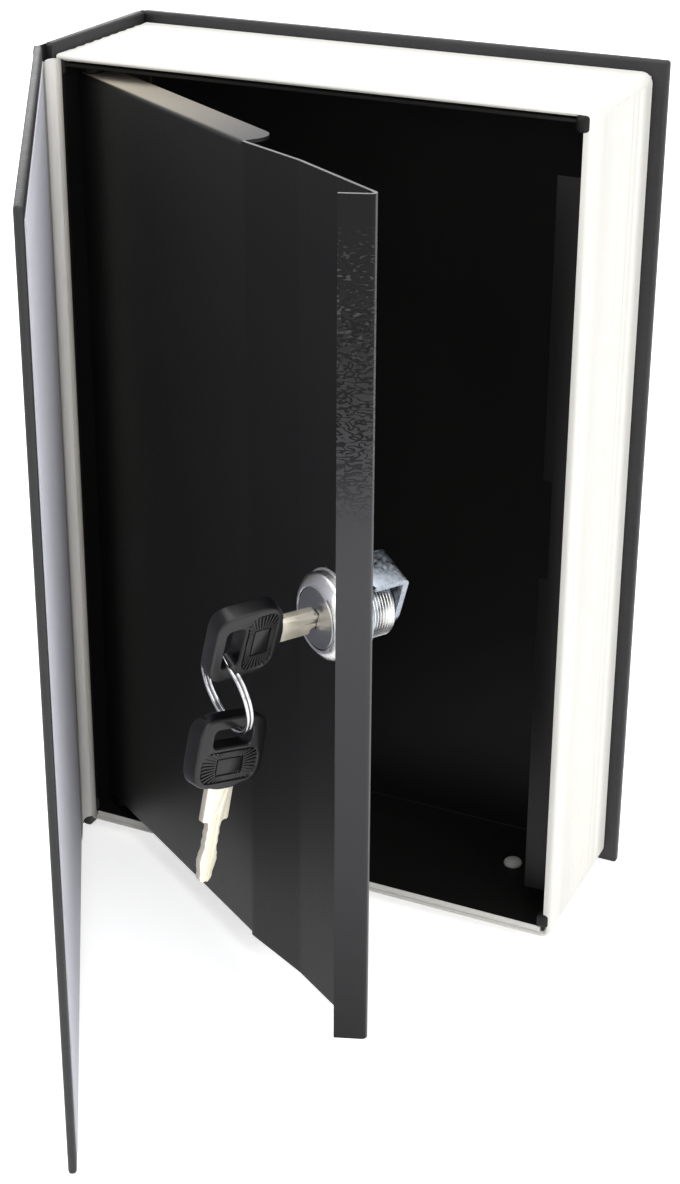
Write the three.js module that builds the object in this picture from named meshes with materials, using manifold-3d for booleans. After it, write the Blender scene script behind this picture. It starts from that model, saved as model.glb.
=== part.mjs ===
// A book safe: a steel cash box inside a hollow book, with a hinged steel door and a key cam lock.
// Millimetres, +Z up. X runs from the spine (-) to the fore edge (+), Y from the front cover (-) to
// the back cover (+). The origin is on the bottom edge of the back cover board, at mid width and mid
// thickness. The book stands on its lower edges with the cover and the door part open.
import * as THREE from 'three';
import { mergeVertices } from 'three/addons/utils/BufferGeometryUtils.js';
import Module from 'manifold-3d';

const wasm = await Module();
wasm.setup();

// The closed book
const coverHeight = 240;
const coverWidth = 155;
const bookThickness = 55;
const boardThickness = 2.8;
const linerThickness = 0.4;
const overhang = 3.5;          // the boards stand past the pages by this much
const coverOpen = 60;          // degrees, as the book stands
const glueLine = 0.1;          // between pieces glued flat to each other
const seatGap = 0.3;           // between pieces that rest on or fit round each other

// The cloth hinges between the spine board and the two cover boards
const clothRadius = 0.8;
const clothBulge = 0.4;        // how far the cloth stands past the boards' outer faces

// The moulded page block
const pageWall = 1.4;
const pageBack = 1.2;
const pageSkin = 0.6;          // left outside the blind holes for the rivets
const pageCornerRadius = 1.2;

// The folded steel box
const boxSheet = 0.8;
const boxGap = 0.2;            // between the box and the page block's walls
const strikeWidth = 8.7;       // the flange that the cam catches behind
const strikeFloorGap = 6.5;    // from the flange's lower end to the box's floor
const strikeRoofGap = 15.5;    // from its upper end to the box's roof
const strikeGap = 0.5;         // behind the closed door
const notchHeight = 28;        // a notch in the flange clears the lock's nut
const notchRoom = 0.6;         // past the nut
const earWidth = 2.2;
const earHeight = 3.6;
const earDepth = 1.5;
const rivetShank = 2.6;        // radii of the plastic rivets that hold the box in the page block
const rivetHead = 3.2;
const rivetHeadHeight = 0.7;
const rivetFromSide = 18;
const rivetFromBack = 21;

// The door
const doorSheet = 0.9;
const doorOpen = 33;
const doorRecess = 4.8;        // closed, its face lies this far behind the pages' front edge
const doorEndGap = 2.7;        // to the box's floor and roof
const doorHingeGap = 2;        // to the box's wall at the hinge edge
const doorFreeGap = 0.6;       // to the box's wall at the free edge
const doorFlangeWidth = 9.8;
const doorFlangeCorner = 5;
const doorFlangeStart = 0.3;   // from the hinge edge
const joggleDepth = 2.2;       // the free part of the door steps in by this much
const joggleLength = 21;
const joggleFromFlange = 1;    // the step starts past the end flanges
const lockFromJoggle = 4.5;    // from the step's end to the lock's collar
const lipReach = 5;            // the free edge's fold runs back along the door
const lipHeight = 6.6;         // and stands out from it

// The hinge pins
const pinFromFace = 3.1;       // behind the door's face
const pinFromEdge = 2.6;       // from the door's hinge edge
const pinRadius = 1.1;
const pinHeadRadius = 1.9;
const pinHeadHeight = 1;
const pinClearance = 0.2;
const pinWasherRadius = 2.9;

// The cam lock
const lockFromFreeEdge = 16.3;
const lockHeight = 123.3;
const collarRadius = 11.1;
const collarFlangeRadius = 11.7;
const collarFlangeHeight = 1;
const collarHeight = 5.4;
const collarBevel = 2.4;
const collarFaceRadius = 8.6;
const plugHeadRadius = 7.8;
const plugHeadDepth = 2;
const plugRadius = 5.6;
const plugClearance = 0.15;
const barrelRadius = 8.25;
const barrelFlats = 14.5;
const barrelLength = 12.8;     // behind the door's face
const holeClearance = 0.25;
const lockWasherRadius = 10;
const lockWasherHeight = 0.8;
const nutFlats = 20;
const nutHeight = 3;
const keyTurn = 20;            // degrees clockwise from upright, as seen from outside
const driveWidth = 6;
const driveClearance = 0.15;
const camThickness = 1.6;
const camWidth = 11.6;
const camReach = 12;
const camHookGap = 3.2;        // from the hook's tip to the back of the strike flange
const camScrewHeadRadius = 4.2;
const camScrewHeadHeight = 2.2;
const camScrewRadius = 1.9;
const camScrewFloor = 0.8;     // plug left between the keyway's end and the screw's hole
const camWasherRadius = 4.8;
const camWasherHeight = 0.7;
const screwClearance = 0.15;

// The wafers inside the plug
const waferCount = 5;
const waferPitch = 2.6;
const waferFirst = 1.6;        // behind the plug's face
const waferThickness = 1;
const waferWidth = 5.2;
const waferHeight = 9.2;
const waferEar = 1.1;
const waferEarHeight = 1.1;
const waferEarPlace = 2.2;
const waferGap = 0.15;
const springRadius = 0.5;
const springLength = 3.2;

// The keys
const bladeThickness = 1.7;
const bladeShoulderWidth = 8;
const bladeShoulderLength = 10.2;
const bladeWidth = 4.8;
const bladeLength = 15.5;
const bladeTang = 6;
const bladeGroove = 0.45;
const bladeGrooveWidth = 1.3;
const keywayClearance = 0.2;
const bowLength = 18.8;
const bowWidth = 21.4;
const bowThickness = 5;
const bowCorner = 5.5;
const bowShoulder = 6;         // rounding of the two corners by the blade
const bowArch = 0.6;           // the end between them stands out in the middle by this much
const bowEdge = 1.2;           // rounding of the bow's rim
const slotFromEnd = 3;
const slotWidth = 4.5;
const slotLength = 12.4;
const slotEdge = 0.6;          // bevel round the slot
const slotCorner = 1.4;
const recessDepth = 0.5;       // the shallow rectangle in each face of the bow
const recessWidth = 16.6;
const recessFromSlot = 1.4;
const recessFromBlade = 2.4;
const recessCorner = 2.4;

// The split ring
const ringRadius = 10.4;
const wireRadius = 0.53;
const wirePitch = 1.5;
const ringLean = 10;           // degrees, its foot towards the door
const ringTurn = 5;            // degrees, about a vertical line
const ringSteps = 24;
const wireSides = 6;
const spareLean = 13;          // degrees, the spare key's tip away from the door
const spareTurn = 10;          // degrees, about a vertical line
const spareOffset = -1.8;      // where the ring passes through the spare key's slot
const barGap = 0.4;            // between the ring and the bar of the key's bow that it hangs on
const hangGap = 0.65;          // between the ring and the bar of the spare key's bow

const turnSides = 32;
const smallSides = 16;
const rad = Math.PI / 180;

// Places worked out from the dimensions
const spineOuter = -coverWidth / 2;
const foreEdge = coverWidth / 2;
const spineInner = spineOuter + boardThickness;
const backInner = -boardThickness / 2;
const frontOuter = boardThickness / 2 - bookThickness;
const frontInner = frontOuter + boardThickness;
const pageLeft = spineInner + boxGap;
const pageRight = foreEdge - overhang;
const pageFront = frontInner + linerThickness + glueLine;
const pageRear = backInner - linerThickness - 2 * glueLine;
const pageBottom = overhang;
const pageTop = coverHeight - overhang;
const boxLeft = pageLeft + pageWall + boxGap;
const boxRight = pageRight - pageWall - boxGap;
const boxBottom = pageBottom + pageWall + boxGap;
const boxTop = pageTop - pageWall - boxGap;
const boxFront = pageFront + boxGap;
const boxRear = pageRear - pageBack - boxGap;
const roomLeft = boxLeft + boxSheet;
const roomRight = boxRight - boxSheet;
const roomBottom = boxBottom + boxSheet;
const roomTop = boxTop - boxSheet;
const doorLeft = roomLeft + doorHingeGap;
const doorRight = roomRight - doorFreeGap;
const doorLength = doorRight - doorLeft;
const doorBottom = roomBottom + doorEndGap;
const doorTop = roomTop - doorEndGap;
const doorFace = pageFront + doorRecess;
const hingeX = doorLeft + pinFromEdge;
const hingeY = doorFace + pinFromFace;
const clothX = spineOuter + clothRadius - clothBulge;
const clothFrontY = frontOuter + clothRadius - clothBulge;
const clothBackY = boardThickness / 2 - clothRadius + clothBulge;
const strikeFront = doorFace + joggleDepth + doorSheet + strikeGap;
const strikeBack = strikeFront + boxSheet;
const lockU = doorLength - lockFromFreeEdge;
const joggleEnd = lockU - collarFlangeRadius - lockFromJoggle;
const joggleStart = joggleEnd - joggleLength;
const doorFlangeLength = joggleStart - joggleFromFlange;

// Mesh helpers

// A closed mesh as a solid, turned right side out if its faces point inwards.
function solid(geometry) {
  const bare = geometry.clone();
  bare.deleteAttribute('normal');
  bare.deleteAttribute('uv');
  const merged = mergeVertices(bare, 1e-4);
  const places = merged.attributes.position.array;
  const triangles = Array.from(merged.index.array);
  let volume = 0;
  for (let i = 0; i < triangles.length; i += 3) {
    const [a, b, c] = [0, 1, 2].map((k) => new THREE.Vector3().fromArray(places, 3 * triangles[i + k]));
    volume += a.dot(b.cross(c));
  }
  if (volume < 0) {
    for (let i = 0; i < triangles.length; i += 3) {
      [triangles[i + 1], triangles[i + 2]] = [triangles[i + 2], triangles[i + 1]];
    }
  }
  return new wasm.Manifold(new wasm.Mesh({
    numProp: 3,
    vertProperties: new Float32Array(places),
    triVerts: new Uint32Array(triangles),
  }));
}

function geometryOf(body) {
  const mesh = body.getMesh();
  const geometry = new THREE.BufferGeometry();
  geometry.setAttribute('position', new THREE.BufferAttribute(new Float32Array(mesh.vertProperties), 3));
  geometry.setIndex(Array.from(mesh.triVerts));
  const flat = geometry.toNonIndexed();
  flat.computeVertexNormals();
  return flat;
}

// A block between two corners.
function block(x0, x1, y0, y1, z0, z1) {
  const geometry = new THREE.BoxGeometry(x1 - x0, y1 - y0, z1 - z0);
  return solid(geometry.translate((x0 + x1) / 2, (y0 + y1) / 2, (z0 + z1) / 2));
}

// An outline in X and Y, raised along Z from z0 to z1.
function upright(shape, z0, z1, curveSegments = 6) {
  const geometry = new THREE.ExtrudeGeometry(shape, { depth: z1 - z0, bevelEnabled: false, curveSegments });
  return solid(geometry.translate(0, 0, z0));
}

// An outline in X and Z, raised along Y from y0 to y1.
function lying(shape, y0, y1, curveSegments = 6) {
  const geometry = new THREE.ExtrudeGeometry(shape, { depth: y1 - y0, bevelEnabled: false, curveSegments });
  return solid(geometry.rotateX(Math.PI / 2).translate(0, y1, 0));
}

// A profile of [radius, y] points turned about the Y axis.
function turned(points, sides = turnSides) {
  return solid(new THREE.LatheGeometry(points.map(([r, y]) => new THREE.Vector2(r, y)), sides));
}

function rodY(radius, y0, y1, sides = turnSides) {
  return turned([[0, y0], [radius, y0], [radius, y1], [0, y1]], sides);
}

function rodZ(radius, x, y, z0, z1, sides = smallSides) {
  const geometry = new THREE.CylinderGeometry(radius, radius, z1 - z0, sides);
  return solid(geometry.rotateX(Math.PI / 2).translate(x, y, (z0 + z1) / 2));
}

function tubeZ(outer, inner, x, y, z0, z1, sides = smallSides) {
  return rodZ(outer, x, y, z0, z1, sides).subtract(rodZ(inner, x, y, z0 - 1, z1 + 1, sides));
}

// A rectangle from corner to corner with rounded corners.
function roundedRectangle(x0, x1, y0, y1, radius) {
  const shape = new THREE.Shape();
  shape.moveTo(x0 + radius, y0);
  shape.lineTo(x1 - radius, y0);
  shape.absarc(x1 - radius, y0 + radius, radius, -Math.PI / 2, 0);
  shape.lineTo(x1, y1 - radius);
  shape.absarc(x1 - radius, y1 - radius, radius, 0, Math.PI / 2);
  shape.lineTo(x0 + radius, y1);
  shape.absarc(x0 + radius, y1 - radius, radius, Math.PI / 2, Math.PI);
  shape.lineTo(x0, y0 + radius);
  shape.absarc(x0 + radius, y0 + radius, radius, Math.PI, 1.5 * Math.PI);
  return shape;
}

function outline(points) {
  return new THREE.Shape(points.map(([x, y]) => new THREE.Vector2(x, y)));
}

// Finishes, from the colours that each surface shows
const finishes = {
  leatherette: { color: 0x2b2b2d, roughness: 0.7, metalness: 0 },
  liner: { color: 0xe9e9f0, roughness: 0.8, metalness: 0 },
  pages: { color: 0xf1eee2, roughness: 0.6, metalness: 0 },
  powder: { color: 0x161617, roughness: 0.4, metalness: 0.1 },
  plastic: { color: 0xd8d8d4, roughness: 0.6, metalness: 0 },
  zinc: { color: 0xb9bfc4, roughness: 0.3, metalness: 1 },
  chrome: { color: 0xd9dbde, roughness: 0.12, metalness: 1 },
  satin: { color: 0x9a9b9e, roughness: 0.4, metalness: 1 },
  brass: { color: 0xc8a45a, roughness: 0.35, metalness: 1 },
  spring: { color: 0x8f9296, roughness: 0.3, metalness: 1 },
  nickel: { color: 0xcfc9b6, roughness: 0.3, metalness: 1 },
  bow: { color: 0x1b1b1e, roughness: 0.55, metalness: 0 },
};
const materials = Object.fromEntries(
  Object.entries(finishes).map(([name, finish]) => {
    return [name, new THREE.MeshStandardMaterial({ name, ...finish })];
  }),
);

function piece(parent, name, finish, body) {
  const mesh = new THREE.Mesh(geometryOf(body), materials[finish]);
  mesh.name = name;
  parent.add(mesh);
  return mesh;
}

const safe = new THREE.Group();

// The covers
function board(x0, x1, y0, y1) {
  return upright(roundedRectangle(x0, x1, y0, y1, boardThickness / 4), 0, coverHeight, 3);
}

// A thin bead on the hinge line and the web that joins it to the spine board.
function hingeCloth(y, spineEnd) {
  const web = block(
    spineOuter, spineOuter + clothRadius,
    Math.min(y, spineEnd), Math.max(y, spineEnd), 0, coverHeight,
  );
  return rodZ(clothRadius, clothX, y, 0, coverHeight, 12).add(web);
}

function makeCovers() {
  const boardStart = clothX + clothRadius + seatGap;
  const spineFront = frontInner + seatGap;
  const spineBack = backInner - seatGap;
  piece(safe, 'back_cover_board', 'leatherette', board(boardStart, foreEdge, backInner, boardThickness / 2));
  piece(safe, 'spine_board', 'leatherette', board(spineOuter, spineInner, spineFront, spineBack));
  piece(safe, 'front_joint_cloth', 'leatherette', hingeCloth(clothFrontY, spineFront - seatGap));
  piece(safe, 'back_joint_cloth', 'leatherette', hingeCloth(clothBackY, spineBack + seatGap));
  const linerRear = backInner - glueLine;
  piece(safe, 'back_liner', 'liner', block(
    pageLeft, pageRight, linerRear - linerThickness, linerRear, pageBottom, pageTop,
  ));

  // The front cover turns about the cloth's bead. Its group is drawn closed and then turned open.
  const cover = new THREE.Group();
  cover.position.set(clothX, clothFrontY, 0);
  cover.rotation.z = -coverOpen * rad;
  const outer = frontOuter - clothFrontY;
  const inner = frontInner - clothFrontY;
  piece(cover, 'front_cover_board', 'leatherette', board(
    boardStart - clothX, foreEdge - clothX, outer, inner,
  ));
  piece(cover, 'front_liner', 'liner', block(
    pageLeft - clothX, pageRight - clothX,
    inner + glueLine / 2, inner + glueLine / 2 + linerThickness - glueLine,
    pageBottom, pageTop,
  ));
  safe.add(cover);
}

// The page block and the steel box in it
function ears(grow) {
  const places = [];
  for (const side of [-1, 1]) {
    for (const end of [-1, 1]) places.push([side, end]);
  }
  return places.map(([side, end]) => {
    const edge = side < 0 ? roomLeft : roomRight;
    const roof = end < 0 ? boxBottom : boxTop;
    const x0 = Math.min(edge, edge + side * earWidth) - grow;
    const x1 = Math.max(edge, edge + side * earWidth) + grow;
    const z0 = Math.min(roof, roof - end * earHeight) - grow;
    const z1 = Math.max(roof, roof - end * earHeight) + grow;
    return block(x0, x1, pageFront - grow, pageFront + earDepth + grow, z0, z1);
  });
}

function rivetPlaces() {
  const xs = [roomLeft + rivetFromSide, roomRight - rivetFromSide];
  const y = boxRear - rivetFromBack;
  return xs.flatMap((x) => [[x, y, -1], [x, y, 1]]);
}

function makePageBlock() {
  const around = roundedRectangle(pageLeft, pageRight, pageFront, pageRear, pageCornerRadius);
  let shell = upright(around, pageBottom, pageTop);
  shell = shell.subtract(block(
    pageLeft + pageWall, pageRight - pageWall, pageFront - 1, pageRear - pageBack,
    pageBottom + pageWall, pageTop - pageWall,
  ));
  for (const ear of ears(seatGap)) shell = shell.subtract(ear);
  for (const [x, y] of rivetPlaces()) {
    shell = shell.subtract(rodZ(rivetShank + seatGap, x, y, pageBottom + pageSkin, pageTop - pageSkin));
  }
  piece(safe, 'page_shell', 'pages', shell);
}

function makeBox() {
  let box = block(boxLeft, boxRight, boxFront, boxRear, boxBottom, boxTop);
  box = box.subtract(block(roomLeft, roomRight, boxFront - 1, boxRear - boxSheet, roomBottom, roomTop));
  let strike = block(
    roomRight - strikeWidth, boxRight, strikeFront, strikeBack,
    roomBottom + strikeFloorGap, roomTop - strikeRoofGap,
  );
  const notchEdge = doorLeft + lockU + nutFlats / 2 + notchRoom;
  strike = strike.subtract(block(
    roomRight - strikeWidth - 1, notchEdge, strikeFront - 1, strikeBack + 1,
    lockHeight - notchHeight / 2, lockHeight + notchHeight / 2,
  ));
  box = box.add(strike);
  for (const ear of ears(0)) box = box.add(ear);
  for (const [x, y] of rivetPlaces()) {
    box = box.subtract(rodZ(rivetShank + seatGap, x, y, boxBottom - 1, boxTop + 1));
  }
  box = box.subtract(rodZ(pinRadius + pinClearance, hingeX, hingeY, boxBottom - 1, boxTop + 1));
  piece(safe, 'lock_box', 'powder', box);

  rivetPlaces().forEach(([x, y, end], index) => {
    const inside = end < 0 ? roomBottom : roomTop;
    const outside = end < 0 ? pageBottom : pageTop;
    const tip = outside - end * (pageSkin + seatGap);
    const under = inside - end * seatGap;
    const head = under - end * rivetHeadHeight;
    const shank = rodZ(rivetShank, x, y, Math.min(tip, head), Math.max(tip, head));
    const cap = rodZ(rivetHead, x, y, Math.min(under, head), Math.max(under, head));
    piece(safe, `shell_rivet_${index + 1}`, 'plastic', shank.add(cap));
  });
}

// The hinge pins: each is riveted in the box's floor or roof and carries the door on a washer.
function makeHingePins() {
  for (const [name, end] of [['top', 1], ['bottom', -1]]) {
    const wall = end > 0 ? boxTop : boxBottom;
    const room = end > 0 ? roomTop : roomBottom;
    const door = end > 0 ? doorTop : doorBottom;
    const headStart = door - end * (doorSheet + seatGap);
    const headEnd = headStart - end * pinHeadHeight;
    const [low, high] = [Math.min(wall, headEnd), Math.max(wall, headEnd)];
    const pin = rodZ(pinRadius, hingeX, hingeY, low, high).add(rodZ(
      pinHeadRadius, hingeX, hingeY, Math.min(headStart, headEnd), Math.max(headStart, headEnd),
    ));
    piece(safe, `hinge_pin_${name}`, 'powder', pin);
    const [washerA, washerB] = [room - end * seatGap, door + end * seatGap];
    piece(safe, `hinge_washer_${name}`, 'powder', tubeZ(
      pinWasherRadius, pinRadius + pinClearance, hingeX, hingeY,
      Math.min(washerA, washerB), Math.max(washerA, washerB),
    ));
  }
}

// The door's group is drawn closed: u runs along X from the hinge edge, and Y runs into the box.
const door = new THREE.Group();
const doorHinge = new THREE.Group();
doorHinge.position.set(hingeX, hingeY, 0);
doorHinge.rotation.z = -doorOpen * rad;
door.position.set(-pinFromEdge, -pinFromFace, 0);
doorHinge.add(door);
safe.add(doorHinge);

function makeDoor() {
  const lipSlope = Math.hypot(lipReach, lipHeight);
  const across = [doorSheet * lipHeight / lipSlope, doorSheet * lipReach / lipSlope];
  const foldIn = doorSheet * lipHeight / (lipSlope + lipReach);
  const lipTip = [doorLength - lipReach, joggleDepth - lipHeight];
  let panel = upright(outline([
    [0, 0],
    [joggleStart, 0],
    [joggleEnd, joggleDepth],
    [doorLength - across[0] - foldIn, joggleDepth],
    [lipTip[0] - across[0], lipTip[1] + across[1]],
    lipTip,
    [doorLength, joggleDepth],
    [doorLength, joggleDepth + doorSheet],
    [joggleEnd, joggleDepth + doorSheet],
    [joggleStart, doorSheet],
    [0, doorSheet],
  ]), doorBottom, doorTop);
  const flange = new THREE.Shape();
  flange.moveTo(doorFlangeStart, doorSheet / 2);
  flange.lineTo(doorFlangeLength, doorSheet / 2);
  flange.lineTo(doorFlangeLength, doorFlangeWidth - doorFlangeCorner);
  flange.quadraticCurveTo(
    doorFlangeLength, doorFlangeWidth, doorFlangeLength - doorFlangeCorner, doorFlangeWidth,
  );
  flange.lineTo(doorFlangeStart + doorFlangeCorner, doorFlangeWidth);
  flange.quadraticCurveTo(
    doorFlangeStart, doorFlangeWidth, doorFlangeStart, doorFlangeWidth - doorFlangeCorner,
  );
  panel = panel.add(upright(flange, doorTop - doorSheet, doorTop));
  panel = panel.add(upright(flange, doorBottom, doorBottom + doorSheet));
  panel = panel.subtract(rodZ(
    pinRadius + pinClearance, pinFromEdge, pinFromFace, doorBottom - 1, doorTop + 1,
  ));
  const hole = lockBarrel(
    barrelRadius + holeClearance, barrelFlats + 2 * holeClearance, joggleDepth - 1, joggleDepth + 2,
  );
  panel = panel.subtract(hole.translate([lockU, 0, lockHeight]));
  piece(door, 'door_panel', 'powder', panel);
}

// The lock's pieces are drawn about the Y axis, with the door's face at the joggle as y = joggleDepth.
const lock = new THREE.Group();
lock.position.set(lockU, 0, lockHeight);
door.add(lock);
const turning = new THREE.Group();
turning.rotation.y = keyTurn * rad;
lock.add(turning);

const collarBack = joggleDepth;
const collarFront = collarBack - collarHeight;
const doorInside = joggleDepth + doorSheet;
const barrelEnd = doorInside + barrelLength;
const plugFace = collarFront + 0.1;
const camFront = barrelEnd + seatGap;
const camBack = camFront + camThickness;
const keywayEnd = plugFace + bladeLength + seatGap;
const screwHoleEnd = keywayEnd + camScrewFloor;

// A round bar with a flat on each side, as the threaded barrel and its hole have.
function lockBarrel(radius, flats, y0, y1) {
  const between = block(-flats / 2, flats / 2, y0 - 1, y1 + 1, -radius - 1, radius + 1);
  return rodY(radius, y0, y1).intersect(between);
}

function makeLock() {
  let housing = turned([
    [0, collarFront],
    [collarFaceRadius, collarFront],
    [collarRadius, collarFront + collarBevel],
    [collarRadius, collarBack - collarFlangeHeight],
    [collarFlangeRadius, collarBack - collarFlangeHeight],
    [collarFlangeRadius, collarBack - seatGap / 2],
    [0, collarBack - seatGap / 2],
  ]);
  housing = housing.add(lockBarrel(barrelRadius, barrelFlats, collarBack - 1, barrelEnd));
  const bore = turned([
    [0, collarFront - 1],
    [plugHeadRadius + plugClearance, collarFront - 1],
    [plugHeadRadius + plugClearance, plugFace + plugHeadDepth + plugClearance],
    [plugRadius + plugClearance, plugFace + plugHeadDepth + plugClearance],
    [plugRadius + plugClearance, barrelEnd + 1],
    [0, barrelEnd + 1],
  ]);
  piece(lock, 'lock_housing', 'chrome', housing.subtract(bore));

  const washerFront = doorInside + seatGap / 2;
  const washerBack = washerFront + lockWasherHeight;
  const opening = lockBarrel(
    barrelRadius + holeClearance, barrelFlats + 2 * holeClearance, washerFront - 1, washerBack + 1,
  );
  piece(lock, 'lock_washer', 'zinc', rodY(lockWasherRadius, washerFront, washerBack).subtract(opening));

  const nutFront = washerBack + seatGap / 2;
  const corner = nutFlats / Math.sqrt(3);
  const hexagon = outline([0, 1, 2, 3, 4, 5].map((k) => {
    const angle = (k + 0.5) * Math.PI / 3;
    return [corner * Math.cos(angle), corner * Math.sin(angle)];
  }));
  const threadHole = rodY(barrelRadius + holeClearance, nutFront - 1, nutFront + nutHeight + 1);
  piece(lock, 'lock_nut', 'zinc', lying(hexagon, nutFront, nutFront + nutHeight).subtract(threadHole));
}

function makePlug() {
  let plug = turned([
    [0, plugFace],
    [plugHeadRadius, plugFace],
    [plugHeadRadius, plugFace + plugHeadDepth],
    [plugRadius, plugFace + plugHeadDepth],
    [plugRadius, barrelEnd + seatGap / 2],
    [0, barrelEnd + seatGap / 2],
  ]);
  const half = driveWidth / 2;
  plug = plug.add(block(-half, half, barrelEnd - 1, camBack - 0.1, -half, half));
  const keyHalf = bladeThickness / 2 + keywayClearance;
  const keyTall = bladeWidth / 2 + keywayClearance;
  plug = plug.subtract(block(-keyHalf, keyHalf, plugFace - 1, keywayEnd, -keyTall, keyTall));
  for (let i = 0; i < waferCount; i += 1) {
    const y0 = plugFace + waferFirst + i * waferPitch;
    const y1 = y0 + waferThickness;
    const side = waferWidth / 2 + waferGap;
    const cut = [y0 - waferGap, y1 + waferGap];
    const tall = waferHeight / 2 + waferGap;
    plug = plug.subtract(block(-side, side, ...cut, -tall, tall));
    const pocketSide = waferWidth / 2 + waferEar + waferGap;
    const pocketFloor = waferEarPlace - springLength - 2 * waferGap;
    const pocketRoof = waferEarPlace + waferEarHeight + waferGap;
    plug = plug.subtract(block(0, pocketSide, ...cut, pocketFloor, pocketRoof));
  }
  const screwHole = rodY(camScrewRadius + screwClearance, screwHoleEnd, camBack + 1, smallSides);
  piece(turning, 'lock_plug', 'satin', plug.subtract(screwHole));
}

function makeWafers() {
  const windowHalf = bladeThickness / 2 + keywayClearance;
  const windowTall = bladeWidth / 2 + keywayClearance;
  for (let i = 0; i < waferCount; i += 1) {
    const y0 = plugFace + waferFirst + i * waferPitch;
    const y1 = y0 + waferThickness;
    const side = waferWidth / 2;
    let wafer = block(-side, side, y0, y1, -waferHeight / 2, waferHeight / 2);
    wafer = wafer.add(block(
      side - 0.5, side + waferEar, y0, y1, waferEarPlace, waferEarPlace + waferEarHeight,
    ));
    wafer = wafer.subtract(block(-windowHalf, windowHalf, y0 - 1, y1 + 1, -windowTall, windowTall));
    piece(turning, `wafer_${i + 1}`, 'brass', wafer);
    const spring = rodZ(
      springRadius, side + waferEar / 2 + waferGap / 2, (y0 + y1) / 2,
      waferEarPlace - springLength - waferGap, waferEarPlace - waferGap, 8,
    );
    piece(turning, `wafer_spring_${i + 1}`, 'spring', spring);
  }
}

function makeCam() {
  const half = camWidth / 2;
  const shape = new THREE.Shape();
  shape.moveTo(half, 0);
  shape.lineTo(half, camReach);
  shape.lineTo(-half, camReach);
  shape.lineTo(-half, 0);
  shape.absarc(0, 0, half, Math.PI, 2 * Math.PI);
  let cam = lying(shape, camFront, camBack);
  const hookTip = strikeBack - doorFace + camHookGap;
  cam = cam.add(block(-half, half, hookTip, camBack, camReach - camThickness, camReach));
  const hole = driveWidth / 2 + driveClearance;
  piece(turning, 'cam', 'zinc', cam.subtract(block(-hole, hole, camFront - 1, camBack + 1, -hole, hole)));

  const washerFront = camBack + 0.1;
  const washerBack = washerFront + camWasherHeight;
  const washerHole = rodY(camScrewRadius + 0.2, washerFront - 1, washerBack + 1, smallSides);
  piece(turning, 'cam_washer', 'zinc', rodY(camWasherRadius, washerFront, washerBack).subtract(washerHole));
  const headFront = washerBack + 0.1;
  let screw = turned([
    [0, headFront],
    [camScrewHeadRadius, headFront],
    [camScrewHeadRadius * 0.85, headFront + camScrewHeadHeight],
    [0, headFront + camScrewHeadHeight],
  ], 24);
  screw = screw.add(rodY(camScrewRadius, screwHoleEnd + seatGap, headFront + 0.5, smallSides));
  for (const [w, h] of [[0.5, 2.6], [2.6, 0.5]]) {
    screw = screw.subtract(block(-w, w, headFront + 0.8, headFront + camScrewHeadHeight + 1, -h, h));
  }
  piece(turning, 'cam_screw', 'zinc', screw);
}

// A key is drawn in X and Z as it sits in the lock: -Y out of the lock, Z across the blade.
const bowStart = plugFace - seatGap - bladeShoulderLength;
const bowEnd = bowStart - bowLength;

// Cuts in the blade's two edges, from the shoulder to the tip: place and depth.
const bladeCuts = [[2.4, 0.5], [4.8, 0.6], [7.2, 0.5], [12.2, 0.6]];

function bladeOutline() {
  const shoulder = plugFace - seatGap;
  const tip = shoulder + bladeLength;
  const half = bladeWidth / 2;
  const points = [[bowStart - bladeTang, bladeShoulderWidth / 2], [shoulder - 1, bladeShoulderWidth / 2]];
  points.push([shoulder - 1, half], [shoulder, half]);
  for (const [place, depth] of bladeCuts) {
    points.push([shoulder + place - 1.1, half], [shoulder + place - 0.4, half - depth]);
    points.push([shoulder + place + 0.4, half - depth], [shoulder + place + 1.1, half]);
  }
  points.push([tip - 1.2, half], [tip, half - 1.4]);
  const mirrored = points.slice().reverse().map(([y, z]) => [y, -z]);
  return [...points, ...mirrored];
}

// An outline in Y and Z, raised along X from x0 to x1.
const acrossKey = new THREE.Matrix4().makeBasis(
  new THREE.Vector3(0, 1, 0), new THREE.Vector3(0, 0, 1), new THREE.Vector3(1, 0, 0),
);

function layer(shape, x0, x1, bevel = {}) {
  const geometry = new THREE.ExtrudeGeometry(shape, {
    depth: x1 - x0, bevelEnabled: false, curveSegments: 5, ...bevel,
  });
  return solid(geometry.applyMatrix4(acrossKey).translate(x0, 0, 0));
}

function keyBlade() {
  const half = bladeThickness / 2;
  let blade = layer(outline(bladeOutline()), -half, half);
  const tip = plugFace - seatGap + bladeLength;
  for (const side of [-1, 1]) {
    const face = side * half;
    const floor = face - side * bladeGroove;
    blade = blade.subtract(block(
      Math.min(floor, face + side), Math.max(floor, face + side),
      bowStart + 3, tip + 1, -bladeGrooveWidth / 2, bladeGrooveWidth / 2,
    ));
  }
  return blade;
}

function bowShape(inset) {
  const y0 = bowEnd + inset;
  const y1 = bowStart - inset;
  const z0 = inset - bowWidth / 2;
  const z1 = -z0;
  const corner = bowCorner - inset / 2;
  const shoulder = bowShoulder - inset / 2;
  const side = y1 - bowArch;
  const shape = new THREE.Shape();
  shape.moveTo(y0, z0 + corner);
  shape.quadraticCurveTo(y0, z0, y0 + corner, z0);
  shape.lineTo(side - shoulder, z0);
  shape.quadraticCurveTo(side, z0, side, z0 + shoulder);
  shape.quadraticCurveTo(y1 + bowArch, 0, side, z1 - shoulder);
  shape.quadraticCurveTo(side, z1, side - shoulder, z1);
  shape.lineTo(y0 + corner, z1);
  shape.quadraticCurveTo(y0, z1, y0, z1 - corner);
  return shape;
}

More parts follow.
